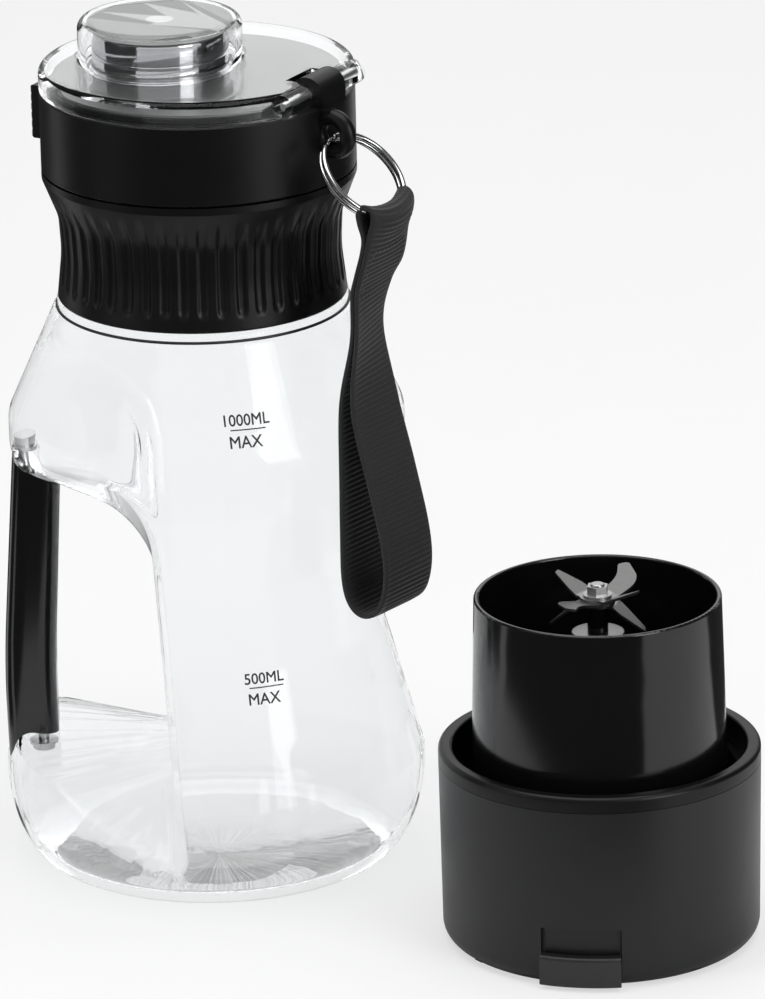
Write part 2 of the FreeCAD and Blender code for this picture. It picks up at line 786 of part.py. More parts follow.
def make_grip(jug_body):
    half = as_size(0.5)
    bar = padded("grip_bar", [
        (-1.0 * grip_outer, shoulder_low * half, 320.0),
        (grip_outer * -0.985, handle_gap_floor - 8.0),
        (grip_thick - grip_outer * 0.99, handle_gap_floor - 8.0),
        (grip_thick - grip_outer, shoulder_low * half, 320.0),
        (grip_thick - grip_outer * 0.93, shoulder_high + 2.0),
        (grip_outer * -0.91, shoulder_high + 2.0),
    ], None, grip_wide, "XZ_Plane")
    side_edge = grip_wide.value / 2 - TOUCHING
    doc.recompute()
    edges = near_edges(bar.Shape, lambda point: abs(point.y) > side_edge)
    long_edges = [number for number in edges if bar.Shape.Edges[number - 1].BoundBox.ZLength > 5.0]
    soft = rounded("grip_soft", bar, long_edges, grip_round)
    holes = [cylinder(f"grip_hole_{word}", grip_screw_x, 0.0, low, screw_shank, screw_length)
             for word, low in (("top", screw_boss_top(1) - screw_length),
                               ("foot", screw_boss_top(-1)))]
    node("handle_grip", cut("handle_grip", soft, jug_body, *holes))


def make_grip_fasteners():
    screws, washers = [], []
    for side, word in ((1, "top"), (-1, "foot")):
        seat = screw_boss_top(side)
        washer_low = seat if side > 0 else seat - washer_thick
        head_low = seat + washer_thick if side > 0 else seat - washer_thick - screw_head_tall
        shank_low = seat - screw_length + washer_thick if side > 0 else seat - washer_thick
        disc = cylinder(f"washer_disc_{word}", grip_screw_x, 0.0, washer_low, washer_radius,
                        washer_thick)
        bore = cylinder(f"washer_bore_{word}", grip_screw_x, 0.0, washer_low - 1.0, screw_shank,
                        washer_thick + 2.0)
        washers.append(cut(f"washer_{word}", disc, bore))
        head = cylinder(f"screw_head_{word}", grip_screw_x, 0.0, head_low, screw_head, screw_head_tall)
        shank = cylinder(f"screw_shank_{word}", grip_screw_x, 0.0, shank_low, screw_shank, screw_length)
        screws.append(fuse(f"screw_{word}", head, shank))
    node("grip_screws", group("grip_screws", *screws))
    node("grip_washers", group("grip_washers", *washers))


def make_collar():
    bore = neck_radius + slip_gap
    low = neck_low + slip_gap
    collar = turned("neck_collar", [
        (bore, low), (collar_low_radius, low, 0.6), (collar_slim_radius, low + 13.5, 40.0),
        (collar_slim_radius + 0.6, collar_high - 13.0, 14.0), (band_radius, collar_high - 2.0, 1.2),
        (band_radius, collar_high), (bore, collar_high)])
    deep = flute_depth
    flute = outline(collar, "flute_outline", [
        (collar_low_radius - deep, low + 4.0, 1.0), (collar_slim_radius - deep, low + 13.5, 40.0),
        (collar_slim_radius + 0.6 - deep, collar_high - 13.0, 12.0),
        (band_radius - 1.2, collar_high - 3.6), (band_radius + 3.0, collar_high - 3.6),
        (band_radius + 3.0, low + 4.0)])
    groove = spin_feature(collar, "Groove", "flute", flute, flute_angle)
    pattern = collar.newObject("PartDesign::PolarPattern", "flutes")
    pattern.Originals = [groove]
    pattern.Axis = (flute, ["V_Axis"])
    pattern.Angle = 360
    pattern.Occurrences = flute_count
    collar.Tip = pattern
    node("neck_collar", collar)
    gasket = tube("neck_gasket", neck_bore + 0.2, band_bore - 0.4, neck_top + slip_gap,
                  neck_top + slip_gap + gasket_thick)
    node("neck_gasket", gasket)


# ---------------------------------------------------------------------------------------------
# Lid: made with its hinge on +X and then turned to its heading
# ---------------------------------------------------------------------------------------------
def make_eyelet():
    """The loop on the band that carries the split ring, and the web that joins it to the band."""
    wire = (eyelet_radius - eyelet_hole) / 2
    loop = torus("eyelet_loop", eyelet_x, eyelet_z, eyelet_radius - wire, wire,
                 FreeCAD.Vector(1, 0, 0), as_size(90.0))
    web = box("eyelet_web", band_bore, 0.0, eyelet_z, eyelet_x - band_bore, wire * 1.8,
              band_high - eyelet_z)
    way = cylinder("eyelet_way", eyelet_x, 0.0, eyelet_z, eyelet_hole + wire / 4, wire * 4.0, "Y")
    bore = cylinder("eyelet_trim", 0.0, 0.0, eyelet_z - eyelet_radius, band_bore + wire / 2,
                    eyelet_radius * 2.0)
    ear = cut("eyelet", fuse("eyelet_solid", loop, cut("eyelet_foot", web, way)), bore)
    bind_place(ear, turn=strap_heading - lid_heading)
    return ear


def make_lid_base():
    shell = turned("lid_shell", [
        (0.0, roof_low), (band_bore, roof_low), (band_bore, band_low), (band_radius, band_low, 0.5),
        (band_radius, band_high, 0.4), (step_radius, band_high), (step_radius, step_high, 0.4),
        (0.0, step_high)])
    below = thread_tall + slip_gap * 3.0
    lug_low = thread_low + thread_lead * lug_start / 360.0 - below
    helix_lugs(shell, "lid_lugs", neck_radius + running_gap, band_bore + 0.2, lug_low, lug_span,
               lug_start - lid_heading)
    trough = box("hinge_trough", trough_x, 0.0, band_high, band_radius, band_radius * 2.0,
                 step_tall + 1.0)
    recess_deep = band_radius - latch_back + latch_travel + running_gap
    recess = box("latch_recess", -1.0 * (band_radius + 4.0), 0.0,
                 latch_z - latch_tall / 2.0 - running_gap, recess_deep + 4.0,
                 latch_wide + running_gap * 2.0, latch_tall + running_gap * 2.0)
    block_foot = box("hinge_block_foot", hinge_x - hinge_block_radius, 0.0, roof_low,
                     hinge_block_radius * 2.0, hinge_block_wide, hinge_z - roof_low)
    block_top = cylinder("hinge_block_top", hinge_x, 0.0, hinge_z, hinge_block_radius,
                         hinge_block_wide, "Y")
    pin_way = cylinder("hinge_pin_way", hinge_x, 0.0, hinge_z, pin_radius, pin_length, "Y")
    spout_way = cylinder("spout_way", spout_x, 0.0, roof_low - 1.0, spout_radius + slip_gap,
                         step_high - roof_low + 2.0)
    gasket_room = cylinder("gasket_room", 0.0, 0.0, roof_low - 4.0, band_bore, 4.0)
    block = cut("hinge_block", fuse("hinge_block_solid", block_foot, block_top), gasket_room)
    body = cut("lid_body", shell, trough, recess)
    whole = fuse("lid_whole", body, block, make_eyelet())
    node("lid_base", cut("lid_base", whole, pin_way, spout_way), "lid")


def make_deck_and_spout():
    disc = cylinder("deck_disc", 0.0, 0.0, step_high, step_radius - 0.4, deck_thick)
    trough = box("deck_trough", trough_x, 0.0, step_high - 1.0, band_radius, band_radius * 2.0,
                 deck_thick + 2.0)
    hole = cylinder("deck_hole", spout_x, 0.0, step_high - 1.0, spout_radius + slip_gap,
                    deck_thick + 2.0)
    node("deck_plate", cut("deck_plate", disc, trough, hole), "lid")
    low = roof_low + slip_gap * 2.0
    flange_top = deck_high + flange_lip
    spout = turned("spout", [
        (spout_bore, low), (spout_radius, low), (spout_radius, deck_high), (spout_flange, deck_high),
        (spout_flange, flange_top, 0.25), (spout_radius, flange_top), (spout_radius, spout_top, 0.9),
        (spout_bore, spout_top, 0.9)])
    node("spout", spout, "lid", x=spout_x)
    node("hinge_pin", group("hinge_pin", cylinder("hinge_pin_rod", hinge_x, 0.0, hinge_z, pin_radius,
                                                  pin_length, "Y")), "lid")


def make_flip_lid():
    plate = turned("lid_plate", [(0.0, lid_low), (band_radius, lid_low, 0.3),
                                 (band_radius, lid_high, 2.5), (0.0, lid_high)])
    bump = turned("lid_bump", [(0.0, lid_low + 1.0), (bump_radius, lid_low + 1.0),
                               (bump_radius, bump_top, 3.0), (0.0, bump_top)])
    bind_place(bump, spout_x)
    past_hinge = box("lid_past_hinge", hinge_x, 0.0, lid_low - 1.0, band_radius, band_radius * 2.0,
                     lid_tall + 2.0)
    barrel = cylinder("lid_barrel", hinge_x, 0.0, hinge_z, barrel_radius, barrel_length, "Y")
    outside = fuse("lid_outside", cut("lid_slab", plate, past_hinge), bump)
    doc.recompute()
    seam = near_edges(outside.Shape, lambda point: abs(point.z - lid_high.value) < TOUCHING and abs(
        math.hypot(point.x - spout_x.value, point.y) - bump_radius.value) < TOUCHING)
    soft = rounded("lid_soft", outside, seam, lid_seam_round)
    room = cylinder("lid_room", 0.0, 0.0, lid_low - 1.0, band_radius - lid_wall,
                    lid_tall - lid_wall + 1.0)
    bump_room = cylinder("bump_room", spout_x, 0.0, lid_low - 1.0, bump_radius - bump_wall,
                         bump_top - bump_roof - lid_low + 1.0)
    notch_x = trough_x - 1.0
    notch = box("lid_notch", notch_x, 0.0, lid_low - 10.0, band_radius,
                hinge_block_wide + hinge_side_gap * 2.0, 40.0)
    pin_way = cylinder("lid_pin_way", hinge_x, 0.0, hinge_z, pin_radius + slip_gap, band_radius * 2.0,
                       "Y")
    hollow = cut("lid_hollow", soft, room, bump_room)
    node("flip_lid", cut("flip_lid", fuse("lid_with_barrels", hollow, barrel), notch, pin_way), "lid")
    seal = turned("spout_seal", [
        (0.0, seal_low - plug_deep), (plug_radius, seal_low - plug_deep, 0.6), (plug_radius, seal_low),
        (seal_radius, seal_low), (seal_radius, seal_high), (0.0, seal_high)])
    node("spout_seal", seal, "lid", x=spout_x)


def make_latch():
    low = latch_z - latch_tall / 2.0
    block = box("latch_block", -1.0 * latch_front, 0.0, low, latch_front - latch_back, latch_wide,
                latch_tall)
    doc.recompute()
    front = near_edges(block.Shape, lambda point: abs(point.x + latch_front.value) < TOUCHING)
    soft = rounded("latch_soft", block, front, latch_round)
    tools = []
    for number in range(latch_ribs):
        height = low + latch_tall * ((number + 1.0) / (latch_ribs + 1.0))
        tools.append(cylinder(f"latch_groove_{number}", -1.0 * latch_front, 0.0, height, 0.6,
                              latch_wide + 2.0, "Y"))
    bed = cylinder("latch_spring_bed", 0.0, 0.0, 0.0, latch_spring_radius + 0.5,
                   latch_spring_deep + 1.0)
    bed.Placement.Rotation = FreeCAD.Rotation(FreeCAD.Vector(0, 1, 0), -90)
    bind(bed, "Placement.Base.x", 1.0 - latch_back)
    bind(bed, "Placement.Base.z", latch_z)
    node("latch_button", cut("latch_button", soft, *tools, bed), "lid")
    floor = latch_back - latch_travel - running_gap
    spring = coil("latch_coil", latch_spring_radius, latch_spring_wire,
                  latch_back + latch_spring_deep - floor - slip_gap, latch_spring_turns)
    spring.Placement.Rotation = FreeCAD.Rotation(FreeCAD.Vector(0, 1, 0), -90)
    bind(spring, "Placement.Base.x", -1.0 * floor)
    bind(spring, "Placement.Base.z", latch_z)
    node("latch_spring", group("latch_spring", spring), "lid")


# ---------------------------------------------------------------------------------------------
# Split ring and carry strap, in the upright plane of the strap's heading
# ---------------------------------------------------------------------------------------------
def make_split_ring():
    aside = ring_wire * 0.485
    lean_x, lean_z = sine(ring_tilt), cosine(ring_tilt)
    turns = [torus(f"ring_turn_{word}", ring_x + lean_x * aside * side, ring_z + lean_z * aside * side,
                   ring_radius, ring_wire / 2, FreeCAD.Vector(0, 1, 0), ring_tilt)
             for side, word in ((1.0, "upper"), (-1.0, "lower"))]
    node("split_ring", fuse("split_ring", *turns), "strap")


def strap_loop(side):
    """Corners of the webbing loop below its seam, half a thickness outside or inside its middle."""
    out = strap_thick / 2 * side
    x, z = ring_x, ring_z
    return [
        (x + 5.3 + out, z - 32.5, 50.0), (x + 4.8 + out, z - 45.5, 80.0), (x + 6.8 + out, z - 65.5, 110.0),
        (x + 14.8 + out, z - 100.5, 65.0), (x + 15.8 + out, z - 112.5, 16.0 + out),
        (x + 13.3 + out, z - 121.0, 6.0 + out), (x + 8.3, z - 124.3 - out, 4.5 + out),
        (x + 3.0 - out, z - 122.0, 5.0 + out), (x + 0.8 - out, z - 114.5, 20.0 + out),
        (x + 1.0 - out, z - 80.5, 150.0), (x + 2.4 - out, z - 45.5, 80.0)]


def make_strap():
    half = strap_thick / 2
    x, z = ring_x, ring_z
    outside = padded("strap_outside", strap_loop(1.0) + [
        (x + 3.8 - half, z - 32.5, 50.0), (x + 8.4 - half, z - 14.1, 0.8),
        (x + 10.4 + half, z - 14.1, 0.8), (x + 8.8 + half, z - 18.5, 30.0)], None, strap_wide, "XZ_Plane")
    loop_gap = strap_loop(-1.0)
    loop_gap[0] = loop_gap[0][:2]
    inside = padded("strap_inside", loop_gap, None, strap_wide + 2.0, "XZ_Plane")
    fold = padded("strap_fold", [
        (x + 7.9 - half, z - 16.5), (fold_x - fold_radius, fold_z - 1.2, 2.5),
        (fold_x - 2.4, fold_z + fold_radius, 3.0), (fold_x + 2.6, fold_z + fold_radius, 3.0),
        (fold_x + fold_radius, fold_z - 1.2, 3.0), (x + 9.5 + half, z - 16.5)], None, fold_wide, "XZ_Plane")
    way = torus("strap_way", ring_x, ring_z - fold_drop, ring_radius, fold_room,
                FreeCAD.Vector(0, 1, 0), ring_tilt)
    whole = fuse("strap_whole", cut("strap_loop", outside, inside), fold)
    node("carry_strap", cut("carry_strap", whole, way), "strap")


# ---------------------------------------------------------------------------------------------
# Motor and blade unit: made round Z with its charging port on +X
# ---------------------------------------------------------------------------------------------
def make_shell():
    bore = shell_radius - shell_wall
    shell = turned("shell_turned", [
        (button_hole, 0.0), (shell_foot_radius, 0.0, shell_round), (shell_radius, shell_top),
        (bore, shell_top), (shell_foot_radius - shell_wall, shell_floor, 3.5),
        (button_hole, shell_floor)])
    recess = outline(shell, "port_recess_outline", [
        (port_recess_radius, port_recess_low, 0.6), (shell_radius + 5.0, port_recess_low),
        (shell_radius + 5.0, port_recess_high), (port_recess_radius, port_recess_high, 0.6)])
    spin_feature(shell, "Groove", "port_recess", recess, port_recess_angle)
    slot = box("port_slot", socket_front - 1.0, 0.0, socket_z - socket_tall / 2.0 - port_slot_gap,
               shell_radius - socket_front + 2.0, socket_wide + port_slot_gap * 2.0,
               socket_tall + port_slot_gap * 2.0)
    posts, ribs = [], []
    for number in range(4):
        post = cylinder(f"board_post_{number}", post_ring, 0.0, shell_floor - 1.0, post_radius,
                        board_z - shell_floor + 1.0)
        rib = box(f"flange_rib_{number}", cradle_radius + running_gap, 0.0, shell_floor - 1.0,
                  shell_foot_radius - shell_wall / 2.0 - cradle_radius - running_gap, 3.0,
                  groove_floor - flange_thick - shell_floor + 1.0)
        turn = as_size(45.0 + number * 90.0)
        for kind, piece, kept in (("post", post, posts), ("rib", rib, ribs)):
            held = group(f"{kind}_held_{number}", piece)
            bind_place(held, turn=turn)
            kept.append(held)
    whole = fuse("shell_whole", shell, *posts, *ribs)
    node("motor_shell", cut("motor_shell", whole, slot), "motor")


def make_port_cover():
    cover = new_body("port_cover")
    low = port_recess_low + running_gap
    sketch = outline(cover, "port_cover_outline", [
        (port_recess_radius + running_gap, low, 1.2), (cover_front, low, 0.8),
        (cover_front, cover_high, 1.2), (port_recess_radius + running_gap, cover_high, 0.8)])
    spin_feature(cover, "Revolution", "port_cover_turn", sketch, cover_angle)
    node("port_cover", cover, "motor")


def make_top_ring():
    skirt = shell_radius - shell_wall - running_gap - slip_gap * 2.0
    ring = turned("thread_ring", [
        (ring_bore, groove_floor), (skirt, groove_floor), (skirt, shell_top + seam_gap),
        (shell_radius, shell_top + seam_gap), (shell_radius, ring_top, 1.4), (ring_bore, ring_top, 0.8)])
    helix_lugs(ring, "ring_lugs", neck_radius + 0.7, ring_bore + 0.2, ring_lug_low, lug_span, 0.0)
    node("thread_ring", ring, "motor")
    gasket = tube("ring_gasket", cup_radius + 0.6, ring_bore - 0.2, groove_floor,
                  groove_floor + ring_gasket_thick)
    node("ring_gasket", gasket, "motor")


def cup_outer(height):
    """Outer radius of the tapered cup wall at a height."""
    return cup_radius - (cup_radius - cup_rim_radius) * (height - groove_floor) / (cup_top - groove_floor)


def make_blade_cup():
    under = cup_floor - cup_floor_thick
    flange_low = groove_floor - flange_thick
    cup = turned("cup_turned", [
        (cup_bore, under), (cup_radius - cup_wall * 1.4, under), (cup_radius - cup_wall, flange_low),
        (cup_flange, flange_low), (cup_flange, groove_floor), (cup_radius, groove_floor),
        (cup_rim_radius, cup_top, 0.6), (cup_rim_radius - cup_wall, cup_top, 0.6),
        (cup_outer(cup_floor) - cup_wall, cup_floor, 3.0), (cup_bore, cup_floor)])
    bosses, holes = [], []
    for side, word in ((1.0, "front"), (-1.0, "back")):
        bosses.append(cylinder(f"cup_boss_{word}", boss_x * side, 0.0, motor_top + bracket_thick,
                               boss_radius, under + 1.0 - motor_top - bracket_thick))
        holes.append(cylinder(f"boss_hole_{word}", boss_x * side, 0.0, motor_top, bracket_screw,
                              bracket_screw_length - bracket_thick + 2.5))
    node("blade_cup", cut("blade_cup", fuse("cup_with_bosses", cup, *bosses), *holes), "motor")


def make_bearings():
    tower = turned("bearing_tower", [
        (bearing_outer, cup_floor), (tower_foot, cup_floor, 0.4), (tower_foot, cup_floor + 1.5, 0.6),
        (tower_neck, cup_floor + 8.0, 6.0), (tower_neck - 0.8, tower_top, 0.5),
        (bearing_outer, tower_top)])
    node("bearing_tower", tower, "motor")
    upper_low = tower_top - bearing_tall
    for name, low in (("lower_bearing", cup_floor), ("upper_bearing", upper_low)):
        bearing = tube(name, shaft_radius + slip_gap / 2, bearing_outer, low, low + bearing_tall)
        node(name, bearing, "motor")
    seal = tube("shaft_seal", shaft_radius + slip_gap, bearing_outer, upper_low - shaft_seal_tall,
                upper_low)
    node("shaft_seal", seal, "motor")
    cap = turned("seal_cap", [
        (shaft_radius + running_gap, tower_top), (cap_radius, tower_top),
        (cap_radius, tower_top + cap_thick, 0.5), (shaft_radius + running_gap, tower_top + cap_thick)])
    node("seal_cap", cap, "motor")


def straight_end(length, width):
    """Corners of one tapered blade end seen from above."""
    return [(hub_radius * 0.7, -0.5 * width), (length * 0.55, -0.45 * width, width),
            (length, width * -0.05, 0.5), (length - 0.4, width * 0.2, 0.5),
            (length * 0.55, width * 0.42, width), (hub_radius * 0.7, width * 0.5)]


def sickle_end(length, width):
    """Corners of one curved blade end seen from above: a bulging edge and a hollow one."""
    return [(hub_radius * 0.7, -0.52 * width), (length * 0.66, -0.76 * width, width * 1.2),
            (length, width * 0.42, 1.4), (length * 0.91, width * 0.76, 0.9),
            (length * 0.55, width * 0.14, width * 1.6), (hub_radius * 0.7, width * 0.54)]


def make_blade(name, end, length, rise, width, heading, level):
    """A strip whose two ends are bent up or down from the flat hub; each end is the other turned."""
    far_end = [(-1.0 * corner[0], -1.0 * corner[1]) + corner[2:] for corner in end(length, width)]
    plan = padded(f"{name}_plan", end(length, width) + far_end, as_size(-40.0), as_size(80.0))
    disc = cylinder(f"{name}_disc", 0.0, 0.0, -40.0, hub_radius, 80.0)
    climb = (length + 1.0 - hub_radius) * tangent(rise)
    reach = length + 1.0
    side = padded(f"{name}_side", [
        (-1.0 * reach, climb), (-1.0 * hub_radius, 0.0, 2.0), (hub_radius, 0.0, 2.0), (reach, climb),
        (reach, climb + blade_thick), (hub_radius, blade_thick, 2.0),
        (-1.0 * hub_radius, blade_thick, 2.0), (-1.0 * reach, climb + blade_thick)],
        None, hub_radius * 6.0, "XZ_Plane")
    bore = cylinder(f"{name}_bore", 0.0, 0.0, -2.0, shaft_radius, 5.0)
    strip = common(f"{name}_strip", fuse(f"{name}_shape", plan, disc), side)
    node(name, cut(name, strip, bore), "motor", z=level, turn=heading - port_heading)


def make_blades():
    shaft_high = blade_level + blade_thick * 3.0 + washer_tall + nut_tall + 0.6
    shaft = turned("blade_shaft", [(0.0, shaft_low), (shaft_radius, shaft_low),
                                   (shaft_radius, shaft_high, 0.5), (0.0, shaft_high)])
    node("blade_shaft", shaft, "motor")
    spacer = tube("blade_spacer", shaft_radius, spacer_radius, tower_top + cap_thick + running_gap,
                  blade_level)
    node("blade_spacer", spacer, "motor")
    strips = (("down_blade", straight_end, down_length, down_rise, down_heading),
              ("sickle_blade", sickle_end, sickle_length, sickle_rise, sickle_heading),
              ("up_blade", straight_end, up_length, up_rise, up_heading))
    for number, (name, end, length, rise, heading) in enumerate(strips):
        level = blade_level + blade_thick * float(number)
        make_blade(name, end, length, rise, wing_wide, heading, level)
    low = blade_level + blade_thick * 3.0
    node("blade_washer", tube("blade_washer", shaft_radius, nut_radius + 0.9, low, low + washer_tall),
         "motor")
    hexagon = [(nut_radius * math.cos(math.radians(60.0 * corner)),
                nut_radius * math.sin(math.radians(60.0 * corner))) for corner in range(6)]
    nut = padded("nut_block", hexagon, low + washer_tall, nut_tall)
    bore = cylinder("nut_bore", 0.0, 0.0, low, shaft_radius, washer_tall + nut_tall + 1.0)
    node("blade_nut", cut("blade_nut", nut, bore), "motor")
    coupling = turned("drive_coupling", [
        (motor_shaft, coupling_low), (coupling_radius, coupling_low, 0.5),
        (coupling_radius, coupling_high, 0.5), (shaft_radius, coupling_high), (shaft_radius, shaft_low),
        (motor_shaft, shaft_low)])
    node("drive_coupling", coupling, "motor")


def make_motor():
    cap_low = cradle_z + cradle_thick
    can_low = cap_low + end_cap_tall
    inner = motor_radius - motor_wall
    can = turned("motor_can", [
        (inner, can_low), (motor_radius, can_low), (motor_radius, motor_top, 0.8),
        (motor_shaft + 1.0, motor_top), (motor_shaft + 1.0, motor_top - motor_wall),
        (inner, motor_top - motor_wall)])
    node("motor_can", can, "motor")
    cap = tube("motor_end_cap", motor_shaft + slip_gap, motor_radius, cap_low, can_low)
    node("motor_end_cap", cap, "motor")
    rotor = turned("rotor", [
        (0.0, cap_low + 0.8), (motor_shaft, cap_low + 0.8), (motor_shaft, rotor_low),
        (rotor_radius, rotor_low, 0.6), (rotor_radius, rotor_high, 0.6), (motor_shaft, rotor_high),
        (motor_shaft, shaft_low - slip_gap), (0.0, shaft_low - slip_gap)])
    node("rotor", rotor, "motor")
    plate = box("bracket_plate", bracket_length / -2.0, 0.0, motor_top, bracket_length, bracket_wide,
                bracket_thick)
    tools = [cylinder("bracket_shaft_hole", 0.0, 0.0, motor_top - 1.0, motor_shaft + 1.0,
                      bracket_thick + 2.0)]
    screws = []
    for side, word in ((1.0, "front"), (-1.0, "back")):
        tools.append(cylinder(f"bracket_hole_{word}", boss_x * side, 0.0, motor_top - 1.0,
                              bracket_screw, bracket_thick + 2.0))
        head = cylinder(f"bracket_head_{word}", boss_x * side, 0.0, motor_top - bracket_head_tall,
                        bracket_screw * 2.2, bracket_head_tall)
        shank = cylinder(f"bracket_shank_{word}", boss_x * side, 0.0, motor_top, bracket_screw,
                         bracket_screw_length)
        screws.append(fuse(f"bracket_screw_{word}", head, shank))
    node("motor_bracket", cut("motor_bracket", plate, *tools), "motor")
    node("bracket_screws", group("bracket_screws", *screws), "motor")


def make_cells():
    seat = cradle_z + cradle_thick
    walls, rooms = [], []
    for side, word in ((1.0, "left"), (-1.0, "right")):
        low = cylinder(f"cell_body_{word}", 0.0, cell_y * side, seat, cell_radius, cell_length)
        tip = cylinder(f"cell_tip_{word}", 0.0, cell_y * side, seat + cell_length - 0.5, 2.8, 0.9)
        node(f"battery_cell_{word}", fuse(f"battery_cell_{word}", low, tip), "motor")
        walls.append(cylinder(f"cell_wall_{word}", 0.0, cell_y * side, cradle_z,
                              cell_radius + slip_gap + cradle_wall, cradle_thick + cradle_rim))
        rooms.append(cylinder(f"cell_room_{word}", 0.0, cell_y * side, seat, cell_radius + slip_gap,
                              cradle_rim + 1.0))
    disc = cylinder("cradle_disc", 0.0, 0.0, cradle_z, cradle_radius, cradle_thick)
    motor_room = cylinder("motor_room", 0.0, 0.0, seat, motor_radius + running_gap, cradle_rim + 1.0)
    node("cell_cradle", cut("cell_cradle", fuse("cradle_whole", disc, *walls), *rooms, motor_room),
         "motor")


def make_electronics():
    disc = cylinder("board_disc", 0.0, 0.0, board_z, board_radius, board_thick)
    socket_back = socket_front - socket_deep
    notch = box("board_notch", socket_back - slip_gap, 0.0, board_z - 1.0, socket_deep + 8.0,
                socket_wide + slip_gap * 2.0, board_thick + 2.0)
    node("circuit_board", cut("circuit_board", disc, notch), "motor")
    shell = box("socket_shell", socket_back, 0.0, socket_z - socket_tall / 2.0, socket_deep, socket_wide,
                socket_tall)
    doc.recompute()
    long_edges = [number for number, edge in enumerate(shell.Shape.Edges, start=1)
                  if abs(edge.tangentAt(edge.FirstParameter).x) > 0.9]
    soft = rounded("socket_soft", shell, long_edges, socket_round)
    mouth = box("socket_mouth", socket_back + 1.0, 0.0, socket_z - socket_tall / 2.0 + socket_skin,
                socket_deep, socket_wide - socket_skin * 2.0, socket_tall - socket_skin * 2.0)
    tongue = box("socket_tongue", socket_back + 0.5, 0.0, socket_z - 0.35, socket_deep - 1.5,
                 socket_wide - 2.4, 0.7)
    hollow = cut("socket_hollow", soft, mouth)
    node("charging_socket", fuse("charging_socket", hollow, tongue), "motor")
    switch = box("button_switch", switch_wide / -2.0, 0.0, board_z - switch_tall, switch_wide,
                 switch_wide, switch_tall)
    node("button_switch", group("button_switch_body", switch), "motor")


def make_power_button():
    flange_low = shell_floor + slip_gap
    flange_high = flange_low + button_flange_thick
    stem_top = board_z - switch_tall - button_travel - slip_gap
    button = turned("power_button", [
        (0.0, button_low), (button_radius, button_low, 0.5), (button_radius, flange_low),
        (button_radius + 1.2, flange_low), (button_radius + 1.2, flange_high),
        (stem_radius, flange_high), (stem_radius, stem_top), (0.0, stem_top)])
    node("power_button", button, "motor")
    spring = coil("button_spring", button_spring_radius, button_spring_wire,
                  board_z - flange_high - slip_gap, button_spring_turns)
    node("button_spring", spring, "motor", z=flange_high + slip_gap / 2)


# ---------------------------------------------------------------------------------------------
# The whole part
# ---------------------------------------------------------------------------------------------
make_grip(make_jug())
make_grip_fasteners()
make_collar()
make_lid_base()
make_deck_and_spout()
make_flip_lid()
make_latch()
make_split_ring()
make_strap()
make_shell()
make_port_cover()
make_top_ring()
make_blade_cup()
make_bearings()
make_blades()
make_motor()
make_cells()
make_electronics()
make_power_button()
doc.recompute()

for thing in doc.Objects:
    if "Invalid" in thing.State or "Error" in thing.State:
        raise RuntimeError(f"{thing.Label} failed: {thing.State}")
for name, thing in nodes.items():
    if thing.Shape.isNull() or not thing.Shape.isValid():
        raise RuntimeError(f"{name} has no valid shape")
    if not thing.Shape.Solids:
        raise RuntimeError(f"{name} holds no solid")

os.makedirs("parts", exist_ok=True)
for name, thing in nodes.items():
    thing.Shape.exportStep(f"parts/{name}.step")
    solids = len(thing.Shape.Solids)
    print(f"{name}: {solids} solid{'s' if solids > 1 else ''}, {thing.Shape.Volume / 1000:.2f} cm3")
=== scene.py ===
import json
import math

import bmesh
import bpy
import numpy as np
from mathutils import Matrix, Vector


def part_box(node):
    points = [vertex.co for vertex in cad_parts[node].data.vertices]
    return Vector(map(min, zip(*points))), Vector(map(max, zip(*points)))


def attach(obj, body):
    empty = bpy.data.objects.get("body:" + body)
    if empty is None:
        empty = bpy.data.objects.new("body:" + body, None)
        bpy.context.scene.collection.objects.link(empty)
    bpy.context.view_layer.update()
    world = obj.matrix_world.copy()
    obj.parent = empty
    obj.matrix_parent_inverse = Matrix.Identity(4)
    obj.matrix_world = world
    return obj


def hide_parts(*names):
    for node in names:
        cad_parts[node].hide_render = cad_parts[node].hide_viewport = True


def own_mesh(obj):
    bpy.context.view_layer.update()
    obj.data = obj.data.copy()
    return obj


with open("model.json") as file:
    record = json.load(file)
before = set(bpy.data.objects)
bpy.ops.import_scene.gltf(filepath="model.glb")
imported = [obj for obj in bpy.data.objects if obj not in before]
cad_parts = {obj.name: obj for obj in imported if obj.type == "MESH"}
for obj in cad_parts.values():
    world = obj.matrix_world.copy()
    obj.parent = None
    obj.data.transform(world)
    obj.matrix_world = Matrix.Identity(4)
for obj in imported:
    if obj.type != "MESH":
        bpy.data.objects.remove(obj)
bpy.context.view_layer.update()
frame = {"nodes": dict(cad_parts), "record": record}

# Lengths are millimetres until a mesh is made. Materials and the studio are in metres.
MM = 0.001
STRAP_HEADING = math.radians(-38.0)


# ---------------------------------------------------------------------------------------------
# Shapes
# ---------------------------------------------------------------------------------------------
def box_of(node):
    """Lowest and highest corner of a CAD node, in millimetres."""
    low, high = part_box(node)
    return np.array(low) / MM, np.array(high) / MM


def smooth_step(value):
    """0 below 0, 1 above 1, and the cubic 3t^2 - 2t^3 between."""
    value = np.clip(value, 0.0, 1.0)
    return value * value * (3.0 - 2.0 * value)


